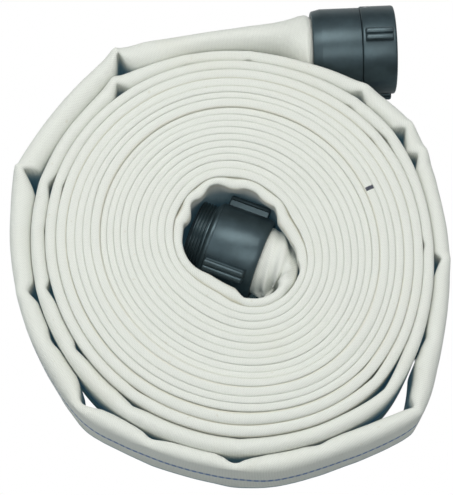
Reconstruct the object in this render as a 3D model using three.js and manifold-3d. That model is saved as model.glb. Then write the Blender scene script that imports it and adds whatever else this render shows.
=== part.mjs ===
// Rolled double-jacket attack hose, 2 1/2 in nominal, with a 2 1/2 in hose-thread coupling set.
// Millimetres, +Z up. The roll lies flat on Z = 0 with its hose standing on edge.
// Seen from above it is wound counter-clockwise from its free outer end (female swivel coupling)
// to its centre (male coupling). Angles are in degrees; plan angles run counter-clockwise from +X.
import * as THREE from 'three';
import { mergeVertices } from 'three/addons/utils/BufferGeometryUtils.js';
import Module from 'manifold-3d';

const wasm = await Module();
wasm.setup();

// ---------------------------------------------------------------- hose and roll dimensions
// Centre of the windings; it puts the middle of the whole bounding box on the Z axis.
const ROLL_CENTRE = [3.944, -35.73];
const HOSE_WIDTH = 110; // lay-flat width, which is the height of the roll
const MID_HEIGHT = HOSE_WIDTH / 2;
const HOSE_R = 36.6; // outside radius where the hose is round, inside the couplings
const JACKET_WALL = 1.1; // woven outer jacket
const JACKET_GAP = 0.3; // room between the outer jacket and the lined inner jacket
const CORE_INSET = JACKET_WALL + JACKET_GAP;
const LINED_WALL = 2.0; // inner jacket and its bonded lining, one wall
const HALF_WRAP_GAP = 0.2; // half of the room between two wraps
const LAST_THICKNESS = 7.0; // thickness of the innermost wrap, which has nothing inside it
const STATIONS_PER_TURN = 16;
const LAST_TURN_STATIONS = 15; // the innermost turn stops short, to leave for the male coupling

// The outermost turn is only lightly pressed: it pinches at its folds and opens between them.
// Columns: angle, outer radius, thickness. The free end leaves the roll at the first row's fold.
const FIRST_TURN = [
  [118, 260.0, 7.0], [135, 249.8, 22], [157.5, 248.5, 7.0], [168, 238.5, 18],
  [180, 230.4, 18], [190, 226.5, 7.0], [202.5, 221.5, 15], [213, 221.5, 15],
  [225, 225.0, 7.5], [236, 224.5, 17], [247.5, 222.5, 14.5], [259, 223.5, 13],
  [270, 228.4, 8], [281, 232.0, 16], [292.5, 235.5, 17.5], [306, 241.0, 18],
  [315, 243.5, 13], [320, 246.0, 8], [329, 235.0, 14], [337.5, 229.0, 13],
  [349, 226.0, 12.5],
];
const [FOLD_ANGLE, FOLD_R, FOLD_THICKNESS] = FIRST_TURN[0];
const FOLD_GAP = 0.35; // keeps the free end clear of the roll at the fold

// Outer radius of the wraps inside the first turn: one row for each turn, from the outside in,
// one column for each station, starting at +X.
const WRAPS = [
  [225.6, 229.5, 226.4, 218.2, 226.8, 229.4, 224.7, 218.6,
    210.1, 205.3, 205.5, 207.1, 213.1, 217.3, 224.1, 215.5],
  [210.6, 213.6, 215.0, 210.9, 214.2, 213.7, 209.4, 202.7,
    194.7, 188.4, 186.8, 188.7, 194.5, 200.8, 206.9, 202.6],
  [199.4, 202.0, 204.2, 203.3, 204.3, 203.2, 198.6, 191.1,
    183.1, 177.0, 175.1, 176.6, 182.7, 189.2, 194.4, 191.9],
  [189.3, 191.2, 192.8, 192.3, 193.6, 192.1, 187.0, 179.9,
    172.0, 164.9, 162.6, 163.7, 168.8, 176.5, 182.6, 180.9],
  [179.0, 180.7, 181.8, 182.8, 184.3, 183.1, 177.9, 170.6,
    163.1, 156.5, 153.9, 155.3, 160.7, 168.4, 173.6, 172.2],
  [170.4, 171.3, 173.3, 175.3, 177.3, 175.8, 170.4, 162.7,
    154.8, 148.6, 146.0, 147.2, 153.4, 161.2, 166.6, 165.4],
  [163.6, 164.6, 166.5, 168.5, 170.5, 169.1, 163.3, 155.4,
    146.2, 139.2, 135.7, 137.0, 142.6, 150.2, 154.9, 154.5],
  [153.9, 154.4, 156.3, 158.4, 160.5, 158.3, 152.4, 144.5,
    136.3, 129.5, 126.3, 127.9, 134.0, 142.4, 147.3, 147.1],
  [146.0, 146.4, 148.2, 150.6, 152.9, 151.5, 145.6, 137.8,
    129.6, 122.8, 119.5, 121.2, 127.2, 135.6, 140.5, 140.3],
  [138.8, 139.0, 140.5, 143.3, 145.8, 144.5, 138.6, 130.5,
    122.2, 115.7, 112.3, 113.7, 119.8, 128.1, 133.4, 133.2],
  [131.7, 131.6, 133.0, 135.8, 138.5, 137.4, 131.2, 123.2,
    114.9, 108.1, 104.6, 105.9, 112.1, 120.4, 125.7, 126.0],
  [124.5, 123.8, 125.3, 128.3, 131.0, 130.1, 123.7, 115.5,
    107.3, 100.2, 96.4, 97.7, 104.0, 112.2, 117.7, 118.2],
  [116.8, 115.9, 117.7, 121.1, 124.1, 123.1, 116.5, 108.5,
    100.5, 92.9, 88.6, 89.5, 95.7, 104.3, 110.0, 110.8],
  [109.5, 108.5, 110.3, 113.8, 117.1, 116.3, 109.7, 101.5,
    93.8, 85.8, 80.9, 81.4, 87.9, 96.4, 102.2, 103.4],
  [101.9, 100.9, 102.9, 106.6, 110.3, 109.5, 102.7, 94.7,
    86.9, 78.9, 73.4, 73.5, 80.2, 89.0, 95.2, 96.7],
  [94.9, 93.6, 96.2, 100.2, 103.3, 102.8, 95.7, 87.6,
    80.3, 71.2, 65.3, 64.8, 71.3, 80.5, 86.6, 88.4],
  [86.7, 85.1, 89.0, 92.9, 95.4, 95.2, 87.8, 80.2,
    73.4, 63.6, 57.3, 56.2, 63.1, 72.6, 79.0, 81.2],
  [79.0, 75.7, 81.6, 85.4, 86.9, 86.6, 79.4, 71.9,
    66.1, 55.4, 48.4, 46.5, 53.8, 64.0, 71.3, 74.4],
];

// ---------------------------------------------------------------- coupling dimensions
// The mouth is the plan point where the hose enters; the heading points away from the hose.
// Axial positions are counted from the mouth. The first lug's angle is counted from +Z
// towards the left of the heading.
const FEMALE = {
  mouth: [87.7, 245.0], heading: 2.4, shankR: 47.3,
  lugs: { start: 57.0, length: 30.5, innerR: 45.4, firstAngle: -2.2 },
};
const MALE = {
  mouth: [32.2, 5.9], heading: 159.1, shankR: 45.0, length: 80.2,
  lugs: { start: 9.2, length: 44.5, innerR: 41.6, firstAngle: 43.5 },
};
const AXIS_Z = 55.4; // height of both couplings' axes
const ROUND_START = -2; // the hose is round from here
const HOSE_END = 43; // to here, inside the bowl
const BOWL_R = 37.1;
const BOWL_DEPTH = 47.3;
const BOWL_FACE_R = 37.9; // extra profile point on the flat face at the mouth
const WATERWAY_R = 31.5;
const SHANK_LENGTH = 53.3; // female shank's full-radius part
const NOSE_R = 40.2; // female shank's nose, which runs inside the swivel
const NOSE_END = 67.9;
const SWIVEL_R = 48.6;
const SWIVEL_BORE_R = 40.9;
const SWIVEL_START = 53.6;
const SWIVEL_END = SWIVEL_START + 37.6;
const SWIVEL_CHAMFER = 1.2;
const GASKET_GAP = 0.4;
const GASKET_END = 73.0;
const THREAD_PITCH = 3.387;
const THREAD_SETBACK = 1.6; // from a coupling's open end to its first thread
const MALE_THREAD = { majorR: 38.97, minorR: 36.9 };
const FEMALE_THREAD = { majorR: 39.6, minorR: 37.9 };
const LUG_COUNT = 3;
const LUG_R = 55.0;
const LUG_WIDTH = 14.3;
const LUG_GROOVE = { depth: 2.0, halfWidth: 1.5 };
const LUG_CORNER = { inset: 1.6, drop: 1.2, taper: 0.5 };
const BALLS = 36;
const BALL_R = 3.175;
const RACE_R = 40.5; // ball centres' circle
const RACE_AT = 60.5; // axial position of the ball race
const RACE_HALF_WIDTH = 3.5;
const TURNED_FACETS = 32;

// ---------------------------------------------------------------- materials
const finish = (color, roughness, metalness) => (
  () => new THREE.MeshStandardMaterial({ color, roughness, metalness })
);
const whiteWeave = finish(0xe6e9e1, 0.85, 0);
const innerWeave = finish(0xd8d3c4, 0.85, 0);
const darkAlloy = finish(0x3d464d, 0.42, 0.85);
const brass = finish(0xb08d4a, 0.35, 1);
const rubber = finish(0x1d1d1f, 0.8, 0);
const steel = finish(0xb9bcc0, 0.25, 1);

// ---------------------------------------------------------------- plan points
const rad = THREE.MathUtils.degToRad;
const lerp = THREE.MathUtils.lerp;
const polar = (angle, radius) => [radius * Math.cos(rad(angle)), radius * Math.sin(rad(angle))];
const shifted = (point, direction, distance) => (
  [point[0] + direction[0] * distance, point[1] + direction[1] * distance]
);

// ---------------------------------------------------------------- meshes and solids
const reversed = (triangles) => triangles.map(([a, b, c]) => [a, c, b]);

// Builds an indexed geometry from a closed surface and turns its faces outward.
function closedGeometry(points, triangles) {
  let volume = 0; // six times the signed volume
  for (const [i, j, k] of triangles) {
    const [a, b, c] = [points[i], points[j], points[k]];
    volume += a[0] * (b[1] * c[2] - b[2] * c[1])
      + a[1] * (b[2] * c[0] - b[0] * c[2])
      + a[2] * (b[0] * c[1] - b[1] * c[0]);
  }
  const geometry = new THREE.BufferGeometry();
  geometry.setAttribute('position', new THREE.Float32BufferAttribute(points.flat(), 3));
  geometry.setIndex((volume < 0 ? reversed(triangles) : triangles).flat());
  return geometry;
}

// Keeps positions only and joins coincident vertices, so that the surface closes.
function weld(geometry) {
  const bare = new THREE.BufferGeometry();
  bare.setAttribute('position', geometry.attributes.position);
  bare.setIndex(geometry.index);
  const { attributes: { position }, index } = mergeVertices(bare, 1e-4);
  const points = Array.from({ length: position.count }, (_, i) => (
    [position.getX(i), position.getY(i), position.getZ(i)]
  ));
  const triangles = Array.from({ length: index.count / 3 }, (_, i) => (
    [index.getX(3 * i), index.getX(3 * i + 1), index.getX(3 * i + 2)]
  ));
  return closedGeometry(points, triangles);
}

function toManifold(geometry) {
  const welded = weld(geometry);
  return new wasm.Manifold(new wasm.Mesh({
    numProp: 3,
    vertProperties: new Float32Array(welded.attributes.position.array),
    triVerts: new Uint32Array(welded.index.array),
  }));
}

function fromManifold(solid) {
  const mesh = solid.getMesh();
  const geometry = new THREE.BufferGeometry();
  geometry.setAttribute('position', new THREE.Float32BufferAttribute(mesh.vertProperties, 3));
  geometry.setIndex(Array.from(mesh.triVerts));
  return geometry;
}

// A body turned about Y. The profile lists [radius, axial position] round the section.
function turned(profile) {
  const outline = [...profile, profile[0]].map(([r, y]) => new THREE.Vector2(r, y));
  return weld(new THREE.LatheGeometry(outline, TURNED_FACETS));
}

const turnedRing = (innerR, outerR, start, end) => (
  turned([[innerR, start], [outerR, start], [outerR, end], [innerR, end]])
);

// Joins two rings of equal count, or a ring to one of four times its count on the same outline.
// Both run the same way round.
function stitch(from, to) {
  const triangles = [];
  const perSide = to.count / from.count;
  for (let i = 0; i < from.count; i++) {
    const a = from.start + i;
    const b = from.start + ((i + 1) % from.count);
    if (perSide === 1) {
      const c = to.start + ((i + 1) % to.count);
      triangles.push([a, b, c], [a, c, to.start + i]);
      continue;
    }
    for (let k = 0; k < perSide; k++) {
      const p = to.start + i * perSide + k;
      const q = to.start + ((i * perSide + k + 1) % to.count);
      triangles.push([k < perSide / 2 ? a : b, q, p]);
      if (k === perSide / 2 - 1) triangles.push([a, b, q]);
    }
  }
  return triangles;
}

const skin = (rings) => rings.slice(1).flatMap((ring, i) => stitch(rings[i], ring));

const fan = ({ start, count }) => (
  Array.from({ length: count - 2 }, (_, i) => [start, start + i + 1, start + i + 2])
);

// A hollow body from its outside and inside rings. Its far end is open; its start is either
// open too, or closed off both outside and at the start of the hollow.
function shell(outsideRings, insideRings, openStart) {
  const points = [];
  const lay = (rings) => rings.map((ring) => {
    const start = points.length;
    points.push(...ring);
    return { start, count: ring.length };
  });
  const outside = lay(outsideRings);
  const inside = lay(insideRings);
  const startFaces = openStart
    ? reversed(stitch(outside[0], inside[0]))
    : [...reversed(fan(outside[0])), ...fan(inside[0])];
  return closedGeometry(points, [
    ...skin(outside),
    ...reversed(skin(inside)),
    ...startFaces,
    ...stitch(outside.at(-1), inside.at(-1)),
  ]);
}

function add(parent, name, geometry, material) {
  const mesh = new THREE.Mesh(geometry, material);
  mesh.name = name;
  parent.add(mesh);
  return mesh;
}

// ---------------------------------------------------------------- hose sections
// A flat station is the hose's outer and inner wall point in plan.
function rollStations() {
  const stations = FIRST_TURN.map(([angle, radius, thickness]) => (
    { outer: polar(angle, radius), inner: polar(angle, radius - thickness) }
  ));
  WRAPS.forEach((wrap, turn) => {
    const next = WRAPS[turn + 1];
    const count = next ? STATIONS_PER_TURN : LAST_TURN_STATIONS;
    for (let k = 0; k < count; k++) {
      const angle = (k * 360) / STATIONS_PER_TURN;
      const outerR = wrap[k] - HALF_WRAP_GAP;
      const innerR = next ? next[k] + HALF_WRAP_GAP : outerR - LAST_THICKNESS;
      stations.push({ outer: polar(angle, outerR), inner: polar(angle, innerR) });
    }
  });
  return stations;
}

function thicknessOf({ outer, inner }) {
  const [dx, dy] = [outer[0] - inner[0], outer[1] - inner[1]];
  const thickness = Math.hypot(dx, dy);
  return { thickness, outward: [dx / thickness, dy / thickness] };
}

// Upright rectangle between two plan points, from the inset up to the same inset below the top.
function uprightRing(outer, inner, inset) {
  const top = HOSE_WIDTH - inset;
  return [[...outer, inset], [...outer, top], [...inner, top], [...inner, inset]];
}

// Rectangular section of the flat hose, shrunk by the inset on every side.
function flatRing(station, inset) {
  const { outward } = thicknessOf(station);
  const outer = shifted(station.outer, outward, -inset);
  const inner = shifted(station.inner, outward, inset);
  return uprightRing(outer, inner, inset);
}

// The lined inner jacket inside it, pressed flat on the section's centre line.
function flatCore(station) {
  const { thickness, outward } = thicknessOf(station);
  const centre = shifted(station.inner, outward, thickness / 2);
  const half = Math.min(LINED_WALL, thickness / 2 - CORE_INSET);
  return uprightRing(shifted(centre, outward, half), shifted(centre, outward, -half), CORE_INSET);
}

// A section of 16 points between a rectangle (roundness 0) and an ellipse (roundness 1),
// shrunk by the inset. Its side is the unit vector in plan towards the roll's outside.
function ovalRing({ centre, side, halfWidth, halfHeight, height, roundness }, inset) {
  return Array.from({ length: 16 }, (_, j) => {
    const step = (j % 4) / 2;
    const edges = [[1, -1 + step], [1 - step, 1], [-1, 1 - step], [-1 + step, -1]];
    const [edgeX, edgeY] = edges[Math.floor(j / 4)];
    const angle = rad(-45 + 22.5 * j);
    const x = lerp(edgeX, Math.cos(angle), roundness) * (halfWidth - inset);
    const y = lerp(edgeY, Math.sin(angle), roundness) * (halfHeight - inset);
    return [...shifted(centre, side, x), height + y];
  });
}

// Oval stations from table rows, followed by the round length that enters the coupling.
// The turn leads from a row's heading to its outer side.
function ovalStations(rows, { mouth, heading: axis }, turn) {
  const roundRows = [ROUND_START, HOSE_END].map((along) => (
    [...shifted(mouth, polar(axis, 1), along), axis, HOSE_R, HOSE_R, AXIS_Z, 1]
  ));
  return [...rows, ...roundRows].map(
    ([x, y, heading, halfWidth, halfHeight, height, roundness]) => (
      { centre: [x, y], side: polar(heading + turn, 1), halfWidth, halfHeight, height, roundness }
    ),
  );
}

// Columns of both tables: x, y, heading, half width, half height, centre height, roundness.
const MALE_END = [
  [60.0, -30.4, 62, 3.8, 54.9, MID_HEIGHT, 0],
  [62.8, -15.5, 108, 8.5, 53.2, MID_HEIGHT, 0.5],
  [56.4, -5.8, 148, 20, 49, MID_HEIGHT, 0.9],
  [46.2, 0.3, 157, 31, 42, 55.2, 1],
];
const FOLD_CENTRE = shifted(
  polar(FOLD_ANGLE, FOLD_R - FOLD_THICKNESS / 2), polar(FOLD_ANGLE - 90, 1), FOLD_GAP,
);
const FREE_END = [
  [...FOLD_CENTRE, FOLD_ANGLE - 90, FOLD_THICKNESS / 2, 54.6, MID_HEIGHT, 0],
  [-95.0, 228.8, 9, 6.2, 54.6, MID_HEIGHT, 0.3],
  [-40.5, 238.0, 8, 9.6, 54, MID_HEIGHT, 0.6],
  [0, 243.6, 5, 10.2, 54, MID_HEIGHT, 0.7],
  [30, 247.2, 4, 15.5, 52.3, MID_HEIGHT, 0.85],
  [55, 249.4, 4, 24, 47.4, 55.1, 1],
  [73, 249.2, 0, 32.5, 40.6, 55.3, 1],
];

// The inner jacket is pressed solid up to the second oval station, where its hollow starts.
function addJackets(parent, prefix, flats, ovals) {
  const outerRings = (inset) => [
    ...flats.map((station) => flatRing(station, inset)),
    ...ovals.map((station) => ovalRing(station, inset)),
  ];
  const outerJacket = shell(outerRings(0), outerRings(JACKET_WALL), true);
  add(parent, `${prefix}outer_jacket`, outerJacket, whiteWeave());
  const innerJacket = shell(
    [...flats.map(flatCore), ...ovals.map((station) => ovalRing(station, CORE_INSET))],
    ovals.slice(1).map((station) => ovalRing(station, CORE_INSET + LINED_WALL)),
    false,
  );
  add(parent, `${prefix}lined_inner_jacket`, innerJacket, innerWeave());
}

// ---------------------------------------------------------------- coupling parts
// Coupling frame: +Y is the axis away from the hose, +Z is up, +X is to the heading's right.
function addCoupling(parent, { mouth, heading }) {
  const group = new THREE.Group();
  group.position.set(mouth[0], mouth[1], AXIS_Z);
  group.rotation.z = rad(heading - 90);
  parent.add(group);
  return group;
}

// Rotation about +Y for an angle counted from +Z towards the heading's left, which is -X.
const aboutAxis = (angle) => -rad(angle);

// One lug with a V groove along the middle of its crest.
function lug({ start, length, innerR }, angle) {
  const half = LUG_WIDTH / 2;
  const { inset, drop, taper } = LUG_CORNER;
  const { depth, halfWidth } = LUG_GROOVE;
  const outline = [
    [-half, innerR], [half, innerR], [half - taper, LUG_R - drop], [half - inset, LUG_R],
    [halfWidth, LUG_R], [0, LUG_R - depth], [-halfWidth, LUG_R],
    [-half + inset, LUG_R], [-half + taper, LUG_R - drop],
  ];
  const shape = new THREE.Shape(outline.map(([x, y]) => new THREE.Vector2(x, y)));
  const options = { depth: length, bevelEnabled: false, steps: 1 };
  const geometry = new THREE.ExtrudeGeometry(shape, options);
  // Swap Y and Z: the shape's y becomes radial (+Z), its depth runs along +Y.
  geometry.applyMatrix4(new THREE.Matrix4().set(
    1, 0, 0, 0,
    0, 0, 1, start,
    0, 1, 0, 0,
    0, 0, 0, 1,
  ));
  return geometry.rotateY(aboutAxis(angle));
}

function withLugs(body, lugs) {
  let solid = toManifold(body);
  for (let i = 0; i < LUG_COUNT; i++) {
    solid = solid.add(toManifold(lug(lugs, lugs.firstAngle + (360 / LUG_COUNT) * i)));
  }
  return solid;
}

// Zigzag profile of thread grooves, from the open end towards the hose.
function threadProfile(firstR, secondR, start, turns) {
  return Array.from({ length: turns }, (_, k) => [
    [firstR, start - k * THREAD_PITCH],
    [secondR, start - (k + 0.5) * THREAD_PITCH],
  ]).flat();
}

// Profile of one half of the ball race, running towards the hose.
const raceGroove = (edgeR, flankR, bottomR, flankHalfWidth) => [
  [edgeR, RACE_AT + RACE_HALF_WIDTH], [flankR, RACE_AT + flankHalfWidth],
  [bottomR, RACE_AT],
  [flankR, RACE_AT - flankHalfWidth], [edgeR, RACE_AT - RACE_HALF_WIDTH],
];

const BOWL_PROFILE = [[BOWL_R, 0], [BOWL_R, BOWL_DEPTH], [WATERWAY_R, BOWL_DEPTH]];

// The ring that holds the hose in the bowl, and the gasket at the bowl's bottom.
function addTail(coupling, prefix) {
  const expansionRing = turnedRing(31.2, 32.2, 1.5, 42.5);
  add(coupling, `${prefix}_expansion_ring`, expansionRing, brass());
  const tailGasket = turnedRing(31.8, 36.5, 43.4, BOWL_DEPTH - GASKET_GAP);
  add(coupling, `${prefix}_tail_gasket`, tailGasket, rubber());
}

// ---------------------------------------------------------------- female coupling
const femaleShank = () => turned([
  ...BOWL_PROFILE, [WATERWAY_R, NOSE_END], [NOSE_R, NOSE_END],
  ...raceGroove(NOSE_R, 37.9, 37.0, 2.4),
  [NOSE_R, SHANK_LENGTH], [FEMALE.shankR, SHANK_LENGTH],
  [FEMALE.shankR, 10.4], [45.0, 0.9], [43.6, 0], [BOWL_FACE_R, 0],
]);

const PLUG_ANGLE = FEMALE.lugs.firstAngle + 180 / LUG_COUNT; // midway between two lugs

// A cylinder across the race at the plug's angle, between two distances from the axis.
function radialPin(radius, from, to) {
  const geometry = new THREE.CylinderGeometry(radius, radius, to - from, 16);
  geometry.rotateX(Math.PI / 2);
  geometry.translate(0, RACE_AT, (from + to) / 2);
  return geometry.rotateY(aboutAxis(PLUG_ANGLE));
}

function swivelRing() {
  const { majorR, minorR } = FEMALE_THREAD;
  const threadStart = SWIVEL_END - THREAD_SETBACK;
  const seat = GASKET_END + GASKET_GAP;
  const body = turned([
    [SWIVEL_BORE_R, SWIVEL_START], [SWIVEL_R - SWIVEL_CHAMFER, SWIVEL_START],
    [SWIVEL_R, SWIVEL_START + SWIVEL_CHAMFER], [SWIVEL_R, threadStart],
    [47.2, SWIVEL_END], [majorR, SWIVEL_END],
    ...threadProfile(minorR, majorR, threadStart, 4),
    [minorR, 76.0], [minorR, seat], [SWIVEL_BORE_R, seat],
    ...raceGroove(SWIVEL_BORE_R, 43.2, 44.2, 2.5),
  ]);
  const plugHole = toManifold(radialPin(3.6, 43.0, 50.0));
  return fromManifold(withLugs(body, FEMALE.lugs).subtract(plugHole));
}

function ballPlugScrew() {
  const slot = new THREE.BoxGeometry(1.0, 8, 1.0);
  slot.translate(0, RACE_AT, 48.2);
  slot.rotateY(aboutAxis(PLUG_ANGLE));
  return fromManifold(toManifold(radialPin(3.3, 45.6, 48.3)).subtract(toManifold(slot)));
}

function addSwivelBalls(coupling) {
  for (let i = 0; i < BALLS; i++) {
    const name = `swivel_ball_${String(i + 1).padStart(2, '0')}`;
    const ball = add(coupling, name, new THREE.SphereGeometry(BALL_R, 8, 4), steel());
    const angle = ((i + 0.5) * 2 * Math.PI) / BALLS;
    ball.position.set(RACE_R * Math.sin(angle), RACE_AT, RACE_R * Math.cos(angle));
  }
}

function addFemaleCoupling(parent) {
  const coupling = addCoupling(parent, FEMALE);
  add(coupling, 'female_shank', femaleShank(), darkAlloy());
  addTail(coupling, 'female');
  const swivelGasket = turnedRing(33.0, NOSE_R, NOSE_END + GASKET_GAP, GASKET_END);
  add(coupling, 'swivel_gasket', swivelGasket, rubber());
  add(coupling, 'swivel_ring', swivelRing(), darkAlloy());
  add(coupling, 'ball_plug_screw', ballPlugScrew(), steel());
  addSwivelBalls(coupling);
}

// ---------------------------------------------------------------- male coupling
function maleShank() {
  const { majorR, minorR } = MALE_THREAD;
  const body = turned([
    ...BOWL_PROFILE, [WATERWAY_R, MALE.length], [36.4, MALE.length],
    ...threadProfile(majorR, minorR, MALE.length - THREAD_SETBACK, 5),
    [majorR, 61.6], [41.6, 60.4], [44.3, 57.6], [44.3, 55.2], [MALE.shankR, 54.6],
    [MALE.shankR, 7.1], [43.4, 0.8], [42.2, 0], [BOWL_FACE_R, 0],
  ]);
  return fromManifold(withLugs(body, MALE.lugs));
}

function addMaleCoupling(parent) {
  const coupling = addCoupling(parent, MALE);
  add(coupling, 'male_shank', maleShank(), darkAlloy());
  addTail(coupling, 'male');
}

// ---------------------------------------------------------------- assembly
const roll = new THREE.Group();
roll.position.set(ROLL_CENTRE[0], ROLL_CENTRE[1], 0);
addJackets(roll, '', rollStations(), ovalStations(MALE_END, MALE, -90));
addJackets(roll, 'free_end_', [], ovalStations(FREE_END, FEMALE, 90));
addFemaleCoupling(roll);
addMaleCoupling(roll);

const model = new THREE.Group();
model.add(roll);
export default model;
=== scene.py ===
"""A flat hose rolled up on edge, with a coupling at each end.

The roll stands on the floor at z = 0, wound round a vertical axis through ORIGIN. The inner end
turns sharply into the male coupling in the middle of the roll. The outer end is folded back and
lies along the +Y side of the roll, with the female coupling and its swivel ring facing +X.

Shapes are worked out in millimetres from the roll's axis; metres() turns them into the scene's.
A place in the winding is an angle in degrees from +X, counter-clockwise seen from above, that
starts at the outside and grows by 360 each turn inwards.
"""
import itertools
import math
from collections import namedtuple

import bmesh
import bpy
import numpy as np
from mathutils import Matrix, Vector


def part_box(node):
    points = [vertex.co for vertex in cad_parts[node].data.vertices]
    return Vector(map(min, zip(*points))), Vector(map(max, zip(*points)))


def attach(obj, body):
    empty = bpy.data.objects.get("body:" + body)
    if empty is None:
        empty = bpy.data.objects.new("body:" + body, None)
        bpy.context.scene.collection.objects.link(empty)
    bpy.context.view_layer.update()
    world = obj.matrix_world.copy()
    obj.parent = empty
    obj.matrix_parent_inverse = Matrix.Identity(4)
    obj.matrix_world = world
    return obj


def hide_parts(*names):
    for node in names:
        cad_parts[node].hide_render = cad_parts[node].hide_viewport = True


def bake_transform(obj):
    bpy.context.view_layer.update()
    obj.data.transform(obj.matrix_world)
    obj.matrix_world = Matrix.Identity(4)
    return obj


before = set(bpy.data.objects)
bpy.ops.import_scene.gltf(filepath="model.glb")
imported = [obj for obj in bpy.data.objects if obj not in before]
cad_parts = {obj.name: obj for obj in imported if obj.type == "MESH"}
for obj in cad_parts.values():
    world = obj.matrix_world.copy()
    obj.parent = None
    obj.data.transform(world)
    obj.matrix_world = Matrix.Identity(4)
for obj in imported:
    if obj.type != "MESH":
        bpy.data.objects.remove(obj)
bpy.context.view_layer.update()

# ------------------------------------------------------------------ dimensions (millimetres)
ORIGIN = np.array([3.944, -35.730])      # the roll's axis in plan
AXIS_Z = 55.4                            # height of both couplings' axes
FEMALE_MOUTH, FEMALE_HEADING = (87.7, 245.0), 2.4
MALE_MOUTH, MALE_HEADING = (32.2, 5.9), 159.1
HOSE_R = 36.6                            # the opened hose in the couplings
HEIGHT = 110.0                           # the flat hose, standing on edge
MID_Z = HEIGHT / 2
FOLD_ANGLE, FOLD_RADIUS = 118.0, 260.0   # where the free end folds back
SEAM = 128.0                             # where the free end's skin starts
END_FLAT = 6795.0                        # where the hose leaves the spiral for the male coupling
LAST = 6840.0                            # from here on there is no wrap further in
HOLE_START, HOLE_BLEND = LAST - 372, 24.0  # where the inner wall starts to follow the hole's rim
WRAP = 7.2                               # thickness of a wrap beside a coupling
WRAP_PITCH, CLEARANCE = 7.4, 0.9

# Outer radius of each wrap's upper edge every 15 degrees, two lines a turn, from the outside in.
# The last of the 19 turns is the rim of the hole.
RIM_START, RIM_STEP, RIM_TURN, WRAPS = 360.0, 15.0, 24, 18
RIM = [
    225.6,227.2,231.6,228.5,229.8,227.8,228.1,228.7,227.4,224.7,220.5,215.8,
    210.1,206.7,204.6,205.5,206.6,208.4,213.1,215.2,219.8,224.1,218.6,213.1,
    210.6,211.8,215.7,218.6,216.5,214.2,214.9,214.6,212.4,209.4,205.5,200.0,
    194.7,190.0,187.4,186.8,188.0,190.1,194.5,198.2,203.3,206.9,204.3,201.0,
    199.4,200.7,203.2,204.2,203.6,203.4,204.3,203.9,201.9,198.6,194.0,188.5,
    183.1,178.6,176.0,175.1,175.8,178.2,182.7,186.6,191.8,194.4,193.2,190.6,
    189.3,190.3,192.0,192.8,192.3,192.7,193.6,193.3,190.6,187.0,182.5,177.4,
    172.0,166.8,163.6,162.6,163.0,164.8,168.8,173.8,179.1,182.6,181.9,180.1,
    179.0,179.9,181.4,181.8,182.2,183.5,184.3,184.1,181.6,177.9,173.1,168.0,
    163.1,158.3,155.1,153.9,154.4,156.6,160.7,165.8,170.9,173.6,172.9,171.3,
    170.4,170.8,171.9,173.3,174.5,175.9,177.3,176.9,174.3,170.4,165.4,160.1,
    154.8,150.3,147.3,146.0,146.4,148.8,153.4,158.1,164.0,166.6,166.1,164.6,
    163.6,164.1,165.2,166.5,167.8,169.2,170.5,170.1,167.6,163.3,158.4,152.1,
    146.2,141.3,137.5,135.7,136.1,138.5,142.6,147.7,152.4,154.9,154.7,154.3,
    153.9,154.1,154.9,156.3,157.8,159.0,160.5,159.6,156.7,152.4,147.2,141.8,
    136.3,131.5,127.9,126.3,126.9,129.5,134.0,139.6,144.7,147.3,147.4,146.7,
    146.0,146.1,146.8,148.2,149.7,151.5,152.9,152.6,149.9,145.6,140.4,135.0,
    129.6,124.8,121.2,119.5,120.1,122.7,127.2,132.8,137.9,140.5,140.7,139.9,
    138.8,138.8,139.3,140.5,142.4,144.2,145.8,145.5,143.0,138.6,133.3,127.7,
    122.2,117.6,114.1,112.3,112.6,115.3,119.8,125.3,130.5,133.4,133.5,132.8,
    131.7,131.4,131.8,133.0,134.9,136.8,138.5,138.4,135.8,131.2,126.0,120.3,
    114.9,110.1,106.5,104.6,104.9,107.5,112.1,117.7,122.9,125.7,126.2,125.6,
    124.5,123.7,124.1,125.3,127.3,129.4,131.0,131.1,128.3,123.7,118.3,112.7,
    107.3,102.3,98.5,96.4,96.7,99.3,104.0,109.5,114.7,117.7,118.3,117.9,
    116.7,115.8,115.9,117.3,119.5,121.9,123.7,123.5,120.7,115.8,110.5,104.8,
    99.5,94.4,90.4,88.2,88.4,91.0,95.6,101.6,106.8,109.9,110.7,110.4,
    109.2,108.0,107.9,109.3,111.5,114.2,116.0,115.9,113.1,108.2,102.6,96.9,
    91.7,86.6,82.6,80.2,80.1,82.8,87.8,93.5,98.9,102.1,103.2,102.8,
    101.4,100.1,99.8,101.2,103.8,106.5,108.6,108.6,105.5,100.4,94.7,89.1,
    83.7,79.0,74.9,72.4,72.4,74.9,80.0,86.2,91.5,95.1,96.2,95.9,
    94.2,92.5,92.0,93.4,96.0,98.8,100.9,101.1,98.0,92.6,86.9,81.1,
    75.5,70.6,66.4,64.0,63.7,66.0,71.1,77.4,83.1,86.4,87.7,87.6,
    85.8,83.7,83.1,84.9,87.5,90.6,92.2,93.0,89.5,83.9,78.5,72.6,
    67.3,62.3,58.2,55.7,55.1,57.3,62.8,69.4,75.4,78.7,80.4,80.1,
    78.0,74.7,72.9,76.0,78.3,81.3,82.6,84.1,80.2,74.9,69.6,63.8,
    58.9,54.0,49.4,46.6,45.7,47.3,53.5,60.9,67.2,71.0,73.1,73.3,
    66.9,62.0,60.5,61.2,62.3,63.2,65.1,68.0,65.9,60.9,58.0,53.8,
    49.2,44.7,39.4,34.8,33.5,33.9,37.1,46.4,55.4,61.0,62.1,64.4,
]
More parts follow.
